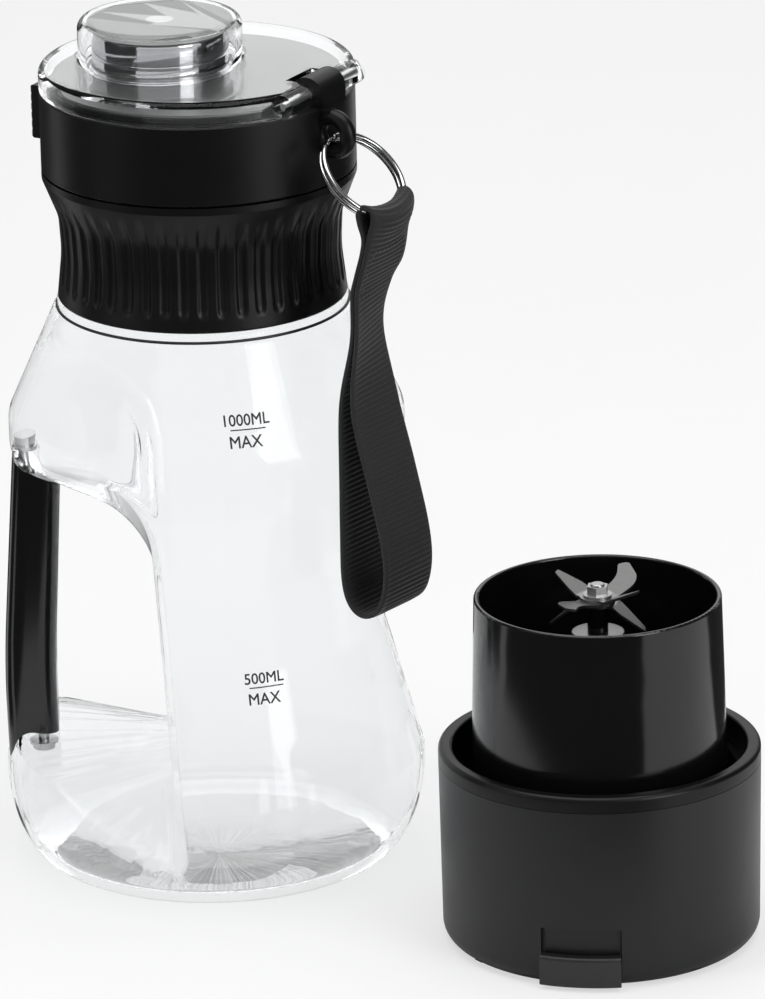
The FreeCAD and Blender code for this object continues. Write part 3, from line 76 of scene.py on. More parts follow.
def rounded(corners, closed=False, steps=6):
    """Polyline through (across, up, rounding) corners; each rounding is an arc tangent to its two runs."""
    points = [np.array(corner[:2], float) for corner in corners]
    pieces = []
    for index, corner in enumerate(corners):
        bend = corner[2] if len(corner) > 2 else 0.0
        at_end = not closed and index in (0, len(corners) - 1)
        if not bend or at_end:
            pieces.append(points[index][None])
            continue
        back = points[index - 1] - points[index]
        onward = points[(index + 1) % len(corners)] - points[index]
        back, onward = back / np.hypot(*back), onward / np.hypot(*onward)
        half = math.acos(np.clip(back @ onward, -1.0, 1.0)) / 2
        middle = points[index] + (back + onward) / np.hypot(*(back + onward)) * bend / math.sin(half)
        first = points[index] + back * bend / math.tan(half) - middle
        last = points[index] + onward * bend / math.tan(half) - middle
        start = math.atan2(first[1], first[0])
        sweep = (math.atan2(last[1], last[0]) - start + math.pi) % math.tau - math.pi
        angles = start + sweep * np.linspace(0.0, 1.0, steps + 1)
        pieces.append(middle + bend * np.stack([np.cos(angles), np.sin(angles)], 1))
    return np.concatenate(pieces)


def spin(profile, columns, x=0.0, y=0.0):
    """Grid of a profile (radius, height) turned about an upright axis at (x, y)."""
    angles = np.linspace(0.0, math.tau, columns, endpoint=False)
    radius, height = profile[:, :1], profile[:, 1:]
    return np.stack([x + radius * np.cos(angles), y + radius * np.sin(angles),
                     height + 0.0 * angles], 2)


def turn(points, heading):
    """Points turned about the jug's axis by a heading."""
    x, y = points[..., 0], points[..., 1]
    return np.stack([x * math.cos(heading) - y * math.sin(heading),
                     x * math.sin(heading) + y * math.cos(heading), points[..., 2]], -1)


def grid_faces(rows, columns, wrap_rows, start=0):
    """Corner numbers of the cells of a grid whose points are counted row by row, and whose rows close."""
    row = np.arange(rows if wrap_rows else rows - 1)[:, None]
    column = np.arange(columns)[None]
    below, beside = (row + 1) % rows, (column + 1) % columns
    cells = np.stack([row * columns + column, row * columns + beside, below * columns + beside,
                      below * columns + column], 2)
    return cells.reshape(-1, 4) + start


def piece(name, grids, body, material, replaces=(), wrap_rows=False, sharp=40.0, bridge=False,
          rings=None):
    """One object of one or more grids of points: poles and seams merged, normals outwards, and placed
    on its body. bridge joins the open rims of two grids. rings gives each grid's UV, u along and v
    across, in metres."""
    points, faces, uvs = [], [], []
    count = 0
    for number, grid in enumerate(grids):
        rows, columns = grid.shape[:2]
        points.append(grid.reshape(-1, 3))
        cells = grid_faces(rows, columns, wrap_rows, count)
        faces.append(cells)
        if rings is not None:
            along, across = rings[number]
            local = cells - count
            row, column = local // columns, local % columns
            row = np.where((row == 0) & (local[:, :1] // columns == rows - 1), rows, row)
            column = np.where((column == 0) & (local[:, :1] % columns == columns - 1), columns, column)
            uvs.append(np.stack([along[row], across[column]], -1))
        count += rows * columns
    mesh = bpy.data.meshes.new(name)
    mesh.from_pydata(np.concatenate(points) * MM, [], np.concatenate(faces).tolist())
    if rings is not None:
        layer = mesh.uv_layers.new(name="UVMap")
        layer.data.foreach_set("uv", np.concatenate(uvs).astype(np.float32).ravel())
    whole = bmesh.new()
    whole.from_mesh(mesh)
    bmesh.ops.remove_doubles(whole, verts=whole.verts, dist=1e-7)
    bmesh.ops.dissolve_degenerate(whole, edges=whole.edges, dist=1e-8)
    if bridge:
        rim = [edge for edge in whole.edges if edge.is_boundary]
        bmesh.ops.bridge_loops(whole, edges=rim)
    bmesh.ops.recalc_face_normals(whole, faces=whole.faces)
    whole.to_mesh(mesh)
    whole.free()
    mesh.shade_smooth()
    mesh.set_sharp_from_angle(angle=math.radians(sharp))
    return settle(name, mesh, body, material, replaces)


def new_object(name, data):
    """An object of some data, linked to the scene."""
    thing = bpy.data.objects.new(name, data)
    bpy.context.scene.collection.objects.link(thing)
    return thing


def settle(name, mesh, body, material, replaces=()):
    """A mesh's object, with its material and body; the CAD nodes it stands for are hidden."""
    thing = new_object(name, mesh)
    mesh.materials.clear()
    mesh.materials.append(material)
    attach(thing, body)
    if replaces:
        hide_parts(*replaces)
    return thing


# ---------------------------------------------------------------------------------------------
# Shader groups
# ---------------------------------------------------------------------------------------------
def new_group(name, inputs, outputs):
    group = bpy.data.node_groups.new(name, "ShaderNodeTree")
    for label, default in inputs:
        socket = group.interface.new_socket(name=label, in_out="INPUT", socket_type="NodeSocketFloat")
        socket.default_value = default
    for label in outputs:
        group.interface.new_socket(name=label, in_out="OUTPUT", socket_type="NodeSocketFloat")
    return group, group.nodes.new("NodeGroupInput"), group.nodes.new("NodeGroupOutput")


def add_node(tree, kind, links=(), **values):
    """A node with its settings, its socket values and its incoming links."""
    node = tree.nodes.new(kind)
    for key, value in values.items():
        if hasattr(node, key):
            setattr(node, key, value)
        else:
            node.inputs[key.replace("_", " ")].default_value = value
    for socket, source in links:
        tree.links.new(source, node.inputs[socket])
    return node


def finish_group(group, taken, given, relief, cloud):
    """Puts out a height, and a cloud that is the tint and moves the roughness either way by the spread."""
    centred = add_node(group, "ShaderNodeMath", [(0, cloud.outputs["Fac"])], operation="SUBTRACT")
    centred.inputs[1].default_value = 0.5
    moved = add_node(group, "ShaderNodeMath", [(0, centred.outputs[0]), (1, taken.outputs["Spread"]),
                                               (2, taken.outputs["Roughness"])],
                     operation="MULTIPLY_ADD", use_clamp=True)
    group.links.new(relief.outputs["Fac"], given.inputs["Height"])
    group.links.new(moved.outputs[0], given.inputs["Roughness"])
    group.links.new(cloud.outputs["Fac"], given.inputs["Tint"])
    return group


def moulded_grain():
    """Fine grain as height, and a slow cloudiness that moves the roughness and a tint either way."""
    group, taken, given = new_group(
        "moulded_grain", (("Grain Scale", 4000.0), ("Roughness", 0.4), ("Spread", 0.05)),
        ("Height", "Roughness", "Tint"))
    place = add_node(group, "ShaderNodeTexCoord")
    grain = add_node(group, "ShaderNodeTexNoise", [("Vector", place.outputs["Object"]),
                                                   ("Scale", taken.outputs["Grain Scale"])], Detail=3.0)
    cloud = add_node(group, "ShaderNodeTexNoise", [("Vector", place.outputs["Object"])], Scale=38.0,
                     Detail=4.0)
    return finish_group(group, taken, given, grain, cloud)


def brushed_lines():
    """Long fine lines along one axis of the piece, as height and as roughness."""
    group, taken, given = new_group(
        "brushed_lines", (("Along X", 60.0), ("Along Y", 4000.0), ("Along Z", 4000.0), ("Turn", 0.0),
                          ("Roughness", 0.3), ("Spread", 0.1)), ("Height", "Roughness", "Tint"))
    place = add_node(group, "ShaderNodeTexCoord")
    angles = add_node(group, "ShaderNodeCombineXYZ", [("Z", taken.outputs["Turn"])])
    scales = add_node(group, "ShaderNodeCombineXYZ", [("X", taken.outputs["Along X"]),
                                                      ("Y", taken.outputs["Along Y"]),
                                                      ("Z", taken.outputs["Along Z"])])
    turned = add_node(group, "ShaderNodeVectorRotate", [("Vector", place.outputs["Object"]),
                                                        ("Rotation", angles.outputs[0])],
                      rotation_type="EULER_XYZ")
    stretched = add_node(group, "ShaderNodeVectorMath", [(0, turned.outputs[0]), (1, scales.outputs[0])],
                         operation="MULTIPLY")
    lines = add_node(group, "ShaderNodeTexNoise", [("Vector", stretched.outputs[0])], Scale=1.0,
                     Detail=3.0)
    return finish_group(group, taken, given, lines, lines)


GRAIN = moulded_grain()
LINES = brushed_lines()


# ---------------------------------------------------------------------------------------------
# Materials
# ---------------------------------------------------------------------------------------------
def new_material(name):
    material = bpy.data.materials.new(name)
    material.use_nodes = True
    tree = material.node_tree
    shader = tree.nodes["Principled BSDF"]
    return material, tree, shader


def tinted(tree, shader, mask, dark, light):
    """Base colour between two near colours, by a mask."""
    ramp = add_node(tree, "ShaderNodeMix", [("Factor", mask)], data_type="RGBA")
    ramp.inputs[6].default_value = (*dark, 1.0)
    ramp.inputs[7].default_value = (*light, 1.0)
    tree.links.new(ramp.outputs[2], shader.inputs["Base Color"])


def finished(name, dark, light, roughness, spread=0.06, grain=5000.0, depth=0.00002, group=None,
             lines=None, **sockets):
    """A material of one finish: two near colours, roughness that varies, and a fine relief."""
    material, tree, shader = new_material(name)
    effect = tree.nodes.new("ShaderNodeGroup")
    effect.node_tree = group or GRAIN
    effect.inputs["Roughness"].default_value = roughness
    effect.inputs["Spread"].default_value = spread
    if lines:
        for label, value in zip(("Along X", "Along Y", "Along Z", "Turn"), lines):
            effect.inputs[label].default_value = value
    else:
        effect.inputs["Grain Scale"].default_value = grain
    tinted(tree, shader, effect.outputs["Tint"], dark, light)
    tree.links.new(effect.outputs["Roughness"], shader.inputs["Roughness"])
    relief = add_node(tree, "ShaderNodeBump", [("Height", effect.outputs["Height"])], Distance=depth,
                      Strength=1.0)
    tree.links.new(relief.outputs[0], shader.inputs["Normal"])
    for label, value in sockets.items():
        shader.inputs[label.replace("_", " ")].default_value = value
    return material


def either_ray(tree, *kinds):
    """1 for a ray of either kind, and 0 for any other."""
    way = add_node(tree, "ShaderNodeLightPath")
    return add_node(tree, "ShaderNodeMath", [(term, way.outputs[kind]) for term, kind in enumerate(kinds)],
                    operation="MAXIMUM").outputs[0]


def mixed_surface(tree, output, share, first, second):
    """Sends a mix of two shaders to the tree's output."""
    both = add_node(tree, "ShaderNodeMixShader", [(0, share), (1, first.outputs[0]),
                                                  (2, second.outputs[0])])
    tree.links.new(both.outputs[0], tree.nodes[output].inputs["Surface"])


# How much each clear part bends light, and how pale its wall is seen edge-on.
JUG_BENDING, JUG_EDGE = 1.03, 0.74
LID_BENDING, LID_EDGE = 1.10, 0.80
EDGE_STARTS = 0.80
PASSING_TINT = (0.965, 0.968, 0.97, 1.0)


def clear_plastic(name, bending, edge):
    """Water-clear moulded plastic under a glossy skin: darker where it is seen edge-on through more of
    the wall, and its shadow stays pale because light passes through it."""
    material = finished(name, (0.955, 0.965, 0.970), (0.975, 0.985, 0.990), 0.012, spread=0.015,
                        grain=60.0, depth=0.00004, Transmission_Weight=1.0, IOR=bending, Coat_Weight=0.32,
                        Coat_Roughness=0.03, Coat_IOR=1.5)
    tree = material.node_tree
    shader = tree.nodes["Principled BSDF"]
    facing = add_node(tree, "ShaderNodeLayerWeight", Blend=0.5)
    rim = add_node(tree, "ShaderNodeMapRange", [("Value", facing.outputs["Facing"])],
                   From_Min=EDGE_STARTS, From_Max=1.0)
    shaded = add_node(tree, "ShaderNodeMix", [("Factor", rim.outputs[0])], data_type="RGBA")
    tree.links.new(shader.inputs["Base Color"].links[0].from_socket, shaded.inputs[6])
    shaded.inputs[7].default_value = (edge, edge, edge, 1.0)
    tree.links.new(shaded.outputs[2], shader.inputs["Base Color"])
    thin = add_node(tree, "ShaderNodeBsdfTransparent")
    thin.inputs["Color"].default_value = PASSING_TINT
    passing = either_ray(tree, "Is Shadow Ray", "Is Diffuse Ray")
    mixed_surface(tree, "Material Output", passing, shader, thin)
    return material


def ribbed_webbing():
    """Black woven webbing: a twill of fine diagonal threads over its ribs, read from the piece's UV."""
    material, tree, shader = new_material("ribbed_webbing")
    place = add_node(tree, "ShaderNodeTexCoord")
    threads = add_node(tree, "ShaderNodeTexWave", [("Vector", place.outputs["UV"])], Scale=520.0,
                       Distortion=0.6, Detail=1.0, wave_type="BANDS", bands_direction="DIAGONAL")
    fibres = add_node(tree, "ShaderNodeTexNoise", [("Vector", place.outputs["UV"])], Scale=2600.0,
                      Detail=4.0)
    weave = add_node(tree, "ShaderNodeMath", [(0, threads.outputs["Fac"]), (1, fibres.outputs["Fac"])],
                     operation="MULTIPLY")
    tinted(tree, shader, weave.outputs[0], (0.0035, 0.0035, 0.004), (0.018, 0.018, 0.019))
    relief = add_node(tree, "ShaderNodeBump", [("Height", weave.outputs[0])], Distance=0.00012,
                      Strength=0.8)
    tree.links.new(relief.outputs[0], shader.inputs["Normal"])
    shader.inputs["Roughness"].default_value = 0.72
    shader.inputs["Sheen Weight"].default_value = 0.25
    shader.inputs["Sheen Roughness"].default_value = 0.4
    return material


GATE_MARK = (3.4, 4.2)


def seal_rubber():
    """Grey silicone disc, paler at the round gate mark in its middle."""
    material = finished("grey_seal", (0.36, 0.37, 0.36), (0.44, 0.45, 0.44), 0.42, grain=2500.0)
    tree = material.node_tree
    shader = tree.nodes["Principled BSDF"]
    low, high = box_of("spout_seal")
    middle = (low + high) / 2 * MM
    place = add_node(tree, "ShaderNodeTexCoord")
    flat = add_node(tree, "ShaderNodeVectorMath", [(0, place.outputs["Object"])], operation="SUBTRACT")
    flat.inputs[1].default_value = tuple(middle)
    level = add_node(tree, "ShaderNodeVectorMath", [(0, flat.outputs[0])], operation="MULTIPLY")
    level.inputs[1].default_value = (1.0, 1.0, 0.0)
    reach = add_node(tree, "ShaderNodeVectorMath", [(0, level.outputs[0])], operation="LENGTH")
    mark = add_node(tree, "ShaderNodeMapRange", [("Value", reach.outputs["Value"])],
                    From_Min=GATE_MARK[0] * MM, From_Max=GATE_MARK[1] * MM, To_Min=1.0, To_Max=0.0)
    tinted(tree, shader, mark.outputs[0], (0.40, 0.41, 0.40), (0.66, 0.67, 0.66))
    return material


def make_materials():
    """One material for each slot of the record."""
    return {
        "clear_plastic": clear_plastic("clear_plastic", JUG_BENDING, JUG_EDGE),
        "satin_black": finished("satin_black", (0.0032, 0.0032, 0.0036), (0.0048, 0.0048, 0.0052), 0.34,
                                spread=0.10, grain=6500.0, depth=0.000012, Specular_IOR_Level=0.24),
        "gloss_black": finished("gloss_black", (0.003, 0.003, 0.0034), (0.0045, 0.0045, 0.005), 0.14,
                                spread=0.06, grain=900.0, depth=0.000004, Specular_IOR_Level=0.5),
        "charcoal_shell": finished("charcoal_shell", (0.0058, 0.006, 0.0066), (0.008, 0.0082, 0.009), 0.38,
                                   spread=0.08, grain=7000.0, depth=0.00002, Specular_IOR_Level=0.34),
        "deck_metal": finished("deck_metal", (0.125, 0.127, 0.123), (0.155, 0.157, 0.152), 0.42, spread=0.1,
                               grain=9000.0, depth=0.00001, Metallic=1.0),
        "chrome_part": finished("chrome_part", (0.48, 0.48, 0.49), (0.54, 0.54, 0.55), 0.08, spread=0.06,
                                grain=600.0, depth=0.000004, Metallic=1.0),
        "blade_steel": finished("blade_steel", (0.24, 0.24, 0.238), (0.34, 0.34, 0.337), 0.30, spread=0.16,
                                depth=0.00001, group=LINES, lines=(300.0, 6000.0, 3000.0, 0.6),
                                Metallic=1.0),
        "plain_steel": finished("plain_steel", (0.42, 0.42, 0.42), (0.55, 0.55, 0.55), 0.34, spread=0.2,
                                depth=0.00001, group=LINES, lines=(2500.0, 2500.0, 120.0, 0.0),
                                Metallic=1.0),
        "grey_seal": seal_rubber(),
        "black_seal": finished("black_seal", (0.009, 0.009, 0.010), (0.013, 0.013, 0.014), 0.42,
                               spread=0.08, grain=4500.0, depth=0.00002),
        "webbing": ribbed_webbing(),
        "cell_wrap": finished("cell_wrap", (0.03, 0.16, 0.30), (0.04, 0.20, 0.36), 0.28, grain=1500.0),
        "board": finished("board", (0.012, 0.10, 0.045), (0.02, 0.16, 0.07), 0.35, grain=2500.0),
        "inner_plastic": finished("inner_plastic", (0.60, 0.60, 0.57), (0.70, 0.70, 0.67), 0.45,
                                  grain=4500.0),
    }


MATERIALS = make_materials()
CLEAR_LID = clear_plastic("clear_lid", LID_BENDING, LID_EDGE)
SLOT_OF = {row["node"]: row["material_slot"] for row in frame["record"]["subparts"]}

# LEVEL is the least upright part of a level face's normal, BLADE_EDGE the width of a ground edge.
LEVEL = 0.99999
JOIN_WITHIN = 0.002
SHARP_FROM = math.radians(28.0)
BLADE_EDGE = 0.22
BLADE_SHARP_FROM = math.radians(50.0)


def dress_node(name):
    """A CAD node's own finish; its loose triangles are joined and shaded smooth up to its sharp edges,
    and its level faces are shaded flat."""
    thing = frame["nodes"][name]
    thing.data.materials.clear()
    thing.data.materials.append(CLEAR_LID if name == "flip_lid" else MATERIALS[SLOT_OF[name]])
    normals = np.zeros(len(thing.data.polygons) * 3, np.float32)
    thing.data.polygons.foreach_get("normal", normals)
    level = np.abs(normals.reshape(-1, 3)[:, 2]) > LEVEL
    thing.data.polygons.foreach_set("use_smooth", ~level)
    weld = thing.modifiers.new("join", "WELD")
    weld.merge_threshold = JOIN_WITHIN * MM
    if name.endswith("_blade"):
        ground = thing.modifiers.new("ground_edge", "BEVEL")
        ground.width = BLADE_EDGE * MM
        ground.segments = 1
        ground.limit_method = "ANGLE"
        ground.angle_limit = BLADE_SHARP_FROM
    split = thing.modifiers.new("edges", "EDGE_SPLIT")
    split.split_angle = SHARP_FROM
    split.use_edge_sharp = False
    shade = thing.modifiers.new("shade", "WEIGHTED_NORMAL")
    shade.keep_sharp = True
    shade.weight = 100


def make_squeezed_spring(name, node, body):
    """A coil under its button: a copy of the CAD coil with its loose triangles merged, settled on its body
    in the coil's place."""
    mesh = frame["nodes"][node].data.copy()
    mesh.name = name
    whole = bmesh.new()
    whole.from_mesh(mesh)
    bmesh.ops.remove_doubles(whole, verts=whole.verts, dist=JOIN_WITHIN * MM)
    whole.to_mesh(mesh)
    whole.free()
    coil = settle(name, mesh, body, MATERIALS["plain_steel"], [node])
    points = np.zeros(len(mesh.vertices) * 3, np.float32)
    mesh.vertices.foreach_get("co", points)
    points = points.reshape(-1, 3)
    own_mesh(coil)


# ---------------------------------------------------------------------------------------------
# Jug
# ---------------------------------------------------------------------------------------------
JUG_WALL = 2.2
FLOOR_THICK = 3.0
NECK_BORE = 36.4
NECK_RADIUS = 38.2
NECK_TOP = box_of("jug")[1][2]
NECK_LOW = 167.6
GROOVE_Z = 165.2
GAP_WALL_TOP = np.array([-16.4, 103.1])
GAP_WALL_FOOT = np.array([-12.0, 29.2])
GAP_FLOOR_BEND = np.array([-45.2, 39.2])
GAP_OPEN_TOP = np.array([-70.2, 127.3])
GAP_OPEN_FOOT = np.array([-70.2, 43.2])
GAP_TOP_ROUND = 15.0
GAP_FOOT_ROUND = 5.0
GAP_EDGE_ROUND = 4.5
ARCH_SLOPE = 0.6
ROOF_FLAT, ROOF_ARCH = 8.0, 8.0
FLOOR_FLAT, FLOOR_ARCH = 20.0, 10.0
FLUTES = 36
FLUTE_DEEP = 0.6
THREAD_STARTS = 4
THREAD_LEAD = 18.0
THREAD_LOW = 211.0
THREAD_TALL = 1.6
THREAD_DEEP = 1.5
THREAD_EDGE = 0.5
THREAD_ABOVE = 8.0
THREAD_SPAN = math.radians(80.0)
RAY_MIDDLE = 8.0
RAY_REACH = 90.0
RAY_CROWDING = 0.45
HALVINGS = 26
OUTER_COLUMNS, INNER_COLUMNS = 288, 216
FLUTES_START, FLUTES_GROWN = 5.0, 9.0
FLUTES_END, FLUTES_FADE = 50.0, 18.0
GAP_CLEAR, GAP_FADE = 2.0, 6.0


def jug_profile(inset):
    """The vessel's side from the foot to the shoulder's end, moved in by the inset."""
    return [(50.9 - inset, inset / JUG_WALL * FLOOR_THICK, 11.7 - inset * 2.0),
            (60.1 - inset, 15.2, 38.0 - inset * 3.0), (60.1 - inset, 30.5, 8.0),
            (49.1 - inset, 70.0, 14.0), (49.1 - inset, 93.0, 14.0), (56.2 - inset, 117.0, 16.0),
            (56.2 - inset, 133.6, 9.0)]


def soft_least(first, second, radius):
    """The lesser of two distances, rounded by an arc where both are less than the radius."""
    both = (first < radius) & (second < radius)
    corner = radius - np.hypot(radius - first, radius - second)
    return np.where(both, corner, np.minimum(first, second))


def line_depth(x, z, start, end):
    """Distance of (x, z) from the line through two points, positive on the handle gap's side."""
    along = (end - start) / np.hypot(*(end - start))
    return (x - start[0]) * -along[1] + (z - start[1]) * along[0]


def arch(y, flat, bend):
    """Rise of an arched surface away from the handle's plane: none over its flat middle, then a
    hyperbola that ends in a straight slope."""
    away = np.maximum(np.abs(y) - flat, 0.0)
    return ARCH_SLOPE * (np.hypot(away, bend) - bend)


def gap_depth(x, y, z):
    """How deep a point lies in the handle gap: the least of its distances inside the wall, the arched
    roof and the arched floor, with rounded corners between them."""
    under_roof = z - arch(y, ROOF_FLAT, ROOF_ARCH)
    over_floor = z + arch(y, FLOOR_FLAT, FLOOR_ARCH)
    wall = line_depth(x, z, GAP_WALL_FOOT, GAP_WALL_TOP)
    roof = line_depth(x, under_roof, GAP_WALL_TOP, GAP_OPEN_TOP)
    floor = np.maximum(line_depth(x, over_floor, GAP_FLOOR_BEND, GAP_WALL_FOOT),
                       line_depth(x, over_floor, GAP_OPEN_FOOT, GAP_FLOOR_BEND))
    return soft_least(soft_least(wall, roof, GAP_TOP_ROUND), floor, GAP_FOOT_ROUND)


def jug_sections(profile, columns, inset, edge_round):
    """Level sections of the vessel: at each row the circle less the handle gap, with rounded corners.
    The edge is found by halving along rays from a point inside. The rays are the same at every row,
    t + RAY_CROWDING sin t for even t, so that they are closer together on the handle's side."""
    even = np.linspace(0.0, math.tau, columns, endpoint=False)
    angles = even + RAY_CROWDING * np.sin(even)
    cosine, sine = np.cos(angles), np.sin(angles)
    radius, height = profile[:, :1], profile[:, 1:]
    near, far = np.zeros((len(profile), columns)), np.full((len(profile), columns), RAY_REACH)
    for _ in range(HALVINGS):
        reach = (near + far) / 2
        x, y = RAY_MIDDLE + reach * cosine, reach * sine
        outside = -soft_least(-(np.hypot(x, y) - radius), -(gap_depth(x, y, height) + inset), edge_round)
        near, far = np.where(outside < 0.0, reach, near), np.where(outside < 0.0, far, reach)
    return np.stack([RAY_MIDDLE + far * cosine, far * sine, height + 0.0 * far], 2)


def with_levels(profile, levels):
    """A profile with extra rows at the given heights, for a stretch where it only rises."""
    foot = int(np.argmax(profile[:, 1] > profile[0, 1] + 0.5))
    rise = profile[foot:]
    heights = np.union1d(np.round(rise[:, 1], 4), np.round(levels, 4))
    heights = heights[(heights >= rise[0, 1]) & (heights <= rise[-1, 1])]
    return np.concatenate([profile[:foot], np.stack([np.interp(heights, rise[:, 1], rise[:, 0]),
                                                     heights], 1)])


def outer_profile():
    side = [(20.0, 0.0)] + jug_profile(0.0) + [
        (42.4, GROOVE_Z - 0.8, 1.2), (40.5, GROOVE_Z), (41.2, GROOVE_Z + 0.8, 0.3), (41.2, NECK_LOW, 0.3),
        (NECK_RADIUS, NECK_LOW + 0.05), (NECK_RADIUS, NECK_TOP - 0.3), (NECK_RADIUS - 0.3, NECK_TOP)]
    levels = np.concatenate([np.arange(6.0, 28.0, 1.6), np.arange(28.0, 46.0, 0.45),
                             np.arange(46.0, 94.0, 3.0), np.arange(94.0, 131.0, 0.75),
                             np.arange(131.0, 164.0, 1.6), np.arange(208.0, 220.0, 0.5)])
    return with_levels(rounded(side, steps=7), levels)


def inner_profile():
    side = [(20.0, FLOOR_THICK)] + jug_profile(JUG_WALL) + [
        (NECK_BORE, NECK_LOW, 2.0), (NECK_BORE, NECK_TOP - 0.3), (NECK_BORE + 0.3, NECK_TOP)]
    levels = np.concatenate([np.arange(26.0, 44.0, 0.6), np.arange(44.0, 96.0, 4.0),
                             np.arange(96.0, 131.0, 0.9), np.arange(131.0, 166.0, 2.5)])
    return with_levels(rounded(side, steps=6), levels)


def make_jug():
    """Outer wall: the sections pushed in by FLUTE_DEEP sin^2 flutes round the base, and out by four
    short helical ribs on the neck. The inner wall is joined to it at the mouth."""
    outer = jug_sections(outer_profile(), OUTER_COLUMNS, 0.0, GAP_EDGE_ROUND)
    x, y, z = outer[..., 0], outer[..., 1], outer[..., 2]
    around = np.arctan2(y, x)
    round_part = smooth_step((-gap_depth(x, y, z) - GAP_CLEAR) / GAP_FADE)
    window = (smooth_step((z - FLUTES_START) / FLUTES_GROWN)
              * smooth_step((FLUTES_END - z) / FLUTES_FADE) * round_part)
    panels = FLUTE_DEEP * np.sin(around * FLUTES / 2) ** 2 * window
    lead = np.mod(around, math.tau / THREAD_STARTS)
    climb = z - THREAD_LOW - lead * THREAD_LEAD / math.tau
    rib = (smooth_step(climb / THREAD_EDGE) * smooth_step((THREAD_TALL - climb) / THREAD_EDGE)
           * (lead < THREAD_SPAN))
    ribs = THREAD_DEEP * rib * (z > NECK_LOW + THREAD_ABOVE)
    grown = 1.0 + (ribs - panels) / np.maximum(np.hypot(x, y), 1.0)
    outer = np.stack([x * grown, y * grown, z], -1)
    inner = jug_sections(inner_profile(), INNER_COLUMNS, JUG_WALL, GAP_EDGE_ROUND - JUG_WALL)
    foot, floor = outer[:1].copy(), inner[:1].copy()
    foot[..., :2], floor[..., :2] = 0.0, 0.0
    return piece("jug_vessel", [np.concatenate([foot, outer]), np.concatenate([floor, inner])],
                 "jug_body", MATERIALS["clear_plastic"], ["jug"], sharp=60.0,
                 bridge=True)


WASHER_THICK = 1.0
SEAT_RADIUS, SEAT_TALL = 4.5, 3.6


def make_screw_seats():
    """The two small clear bosses inside the vessel that the grip's screws clamp."""
    low, high = box_of("grip_washers")
    grids = []
    for level, under in ((high[2] - WASHER_THICK, SEAT_TALL), (low[2] + WASHER_THICK, -SEAT_TALL)):
        grids.append(spin(np.array([(0.0, level - under), (SEAT_RADIUS, level - under),
                                    (SEAT_RADIUS, level), (0.0, level)]), 36, x=(low[0] + high[0]) / 2))
    return piece("screw_seats", grids, "jug_body", MATERIALS["clear_plastic"])


SHOULDER_RING_MIDDLE, SHOULDER_RING_HALF = 41.35, 0.42


def make_shoulder_ring():
    """The thin black ring in the groove between the shoulder and the bead."""
    around = np.linspace(0.0, math.tau, 10, endpoint=False)
    section = np.stack([SHOULDER_RING_MIDDLE + SHOULDER_RING_HALF * np.cos(around),
                        GROOVE_Z + SHOULDER_RING_HALF * np.sin(around)], 1)
    return piece("shoulder_ring", [spin(section, 160)], "jug_body", MATERIALS["black_seal"],
                 wrap_rows=True)


MARKS = (("1000ML", 10.8, 142.8), ("500ML", 14.0, 65.6))
VOLUME_SIZE, MAX_SIZE = 4.2, 4.4
VOLUME_ABOVE, MAX_BELOW = 1.1, 4.6
LINE_LENGTH, LINE_ASIDE = 10.0, 0.6
LINE_HALF_HIGH, LINE_HALF_THICK = 0.16, 0.03
LINE_STOPS = 13
INK_LIFT = 0.02


def volume_mark(name, words, along, level, size):
    """Printed words wrapped round the jug's front: each point keeps its height, and its way across
    becomes a turn about the jug's axis."""
    curve = bpy.data.curves.new(name, "FONT")
    curve.body = words
    curve.size = size
    curve.align_x = "CENTER"
    curve.extrude = 0.03
    curve.bevel_depth = 0.05
    curve.bevel_resolution = 0
    curve.resolution_u = 4
    flat = new_object(f"{name}_flat", curve)
    bpy.context.view_layer.update()
    mesh = bpy.data.meshes.new_from_object(flat)
    bpy.data.objects.remove(flat)
    points = np.zeros(len(mesh.vertices) * 3, np.float32)
    mesh.vertices.foreach_get("co", points)
    return wrap_mark(name, mesh, points.reshape(-1, 3).astype(float), along, level)


def wrap_mark(name, mesh, points, along, level):
    """Lays a flat mark on the jug's front wall and settles it as a piece."""
    profile = outer_profile()
    height = level + points[:, 1]
    radius = np.interp(height, profile[1:, 1], profile[1:, 0]) + INK_LIFT + points[:, 2]
    middle = math.asin(along / np.interp(level, profile[1:, 1], profile[1:, 0]))
    angle = middle + points[:, 0] / radius - math.pi / 2
    wrapped = np.stack([radius * np.cos(angle), radius * np.sin(angle), height], 1) * MM
    mesh.vertices.foreach_set("co", wrapped.astype(np.float32).ravel())
    mesh.name = name
    mesh.update()
    return settle(name, mesh, "jug_body", INK)


def volume_line(name, along, level, length):
    """The fine level line under a volume mark."""
    across = np.linspace(-length / 2, length / 2, LINE_STOPS)
    section = np.array([(-LINE_HALF_HIGH, -LINE_HALF_THICK), (LINE_HALF_HIGH, -LINE_HALF_THICK),
                        (LINE_HALF_HIGH, LINE_HALF_THICK), (-LINE_HALF_HIGH, LINE_HALF_THICK)])
    points = np.stack([across[:, None] + 0.0 * section[:, 0], section[:, 0] + 0.0 * across[:, None],
                       section[:, 1] + 0.0 * across[:, None]], -1).reshape(-1, 3)
    last = 4 * (LINE_STOPS - 1)
    faces = grid_faces(LINE_STOPS, 4, False).tolist()
    faces += [[3, 2, 1, 0], [last, last + 1, last + 2, last + 3]]
    mesh = bpy.data.meshes.new(name)
    mesh.from_pydata(points, [], faces)
    return wrap_mark(name, mesh, points, along, level)


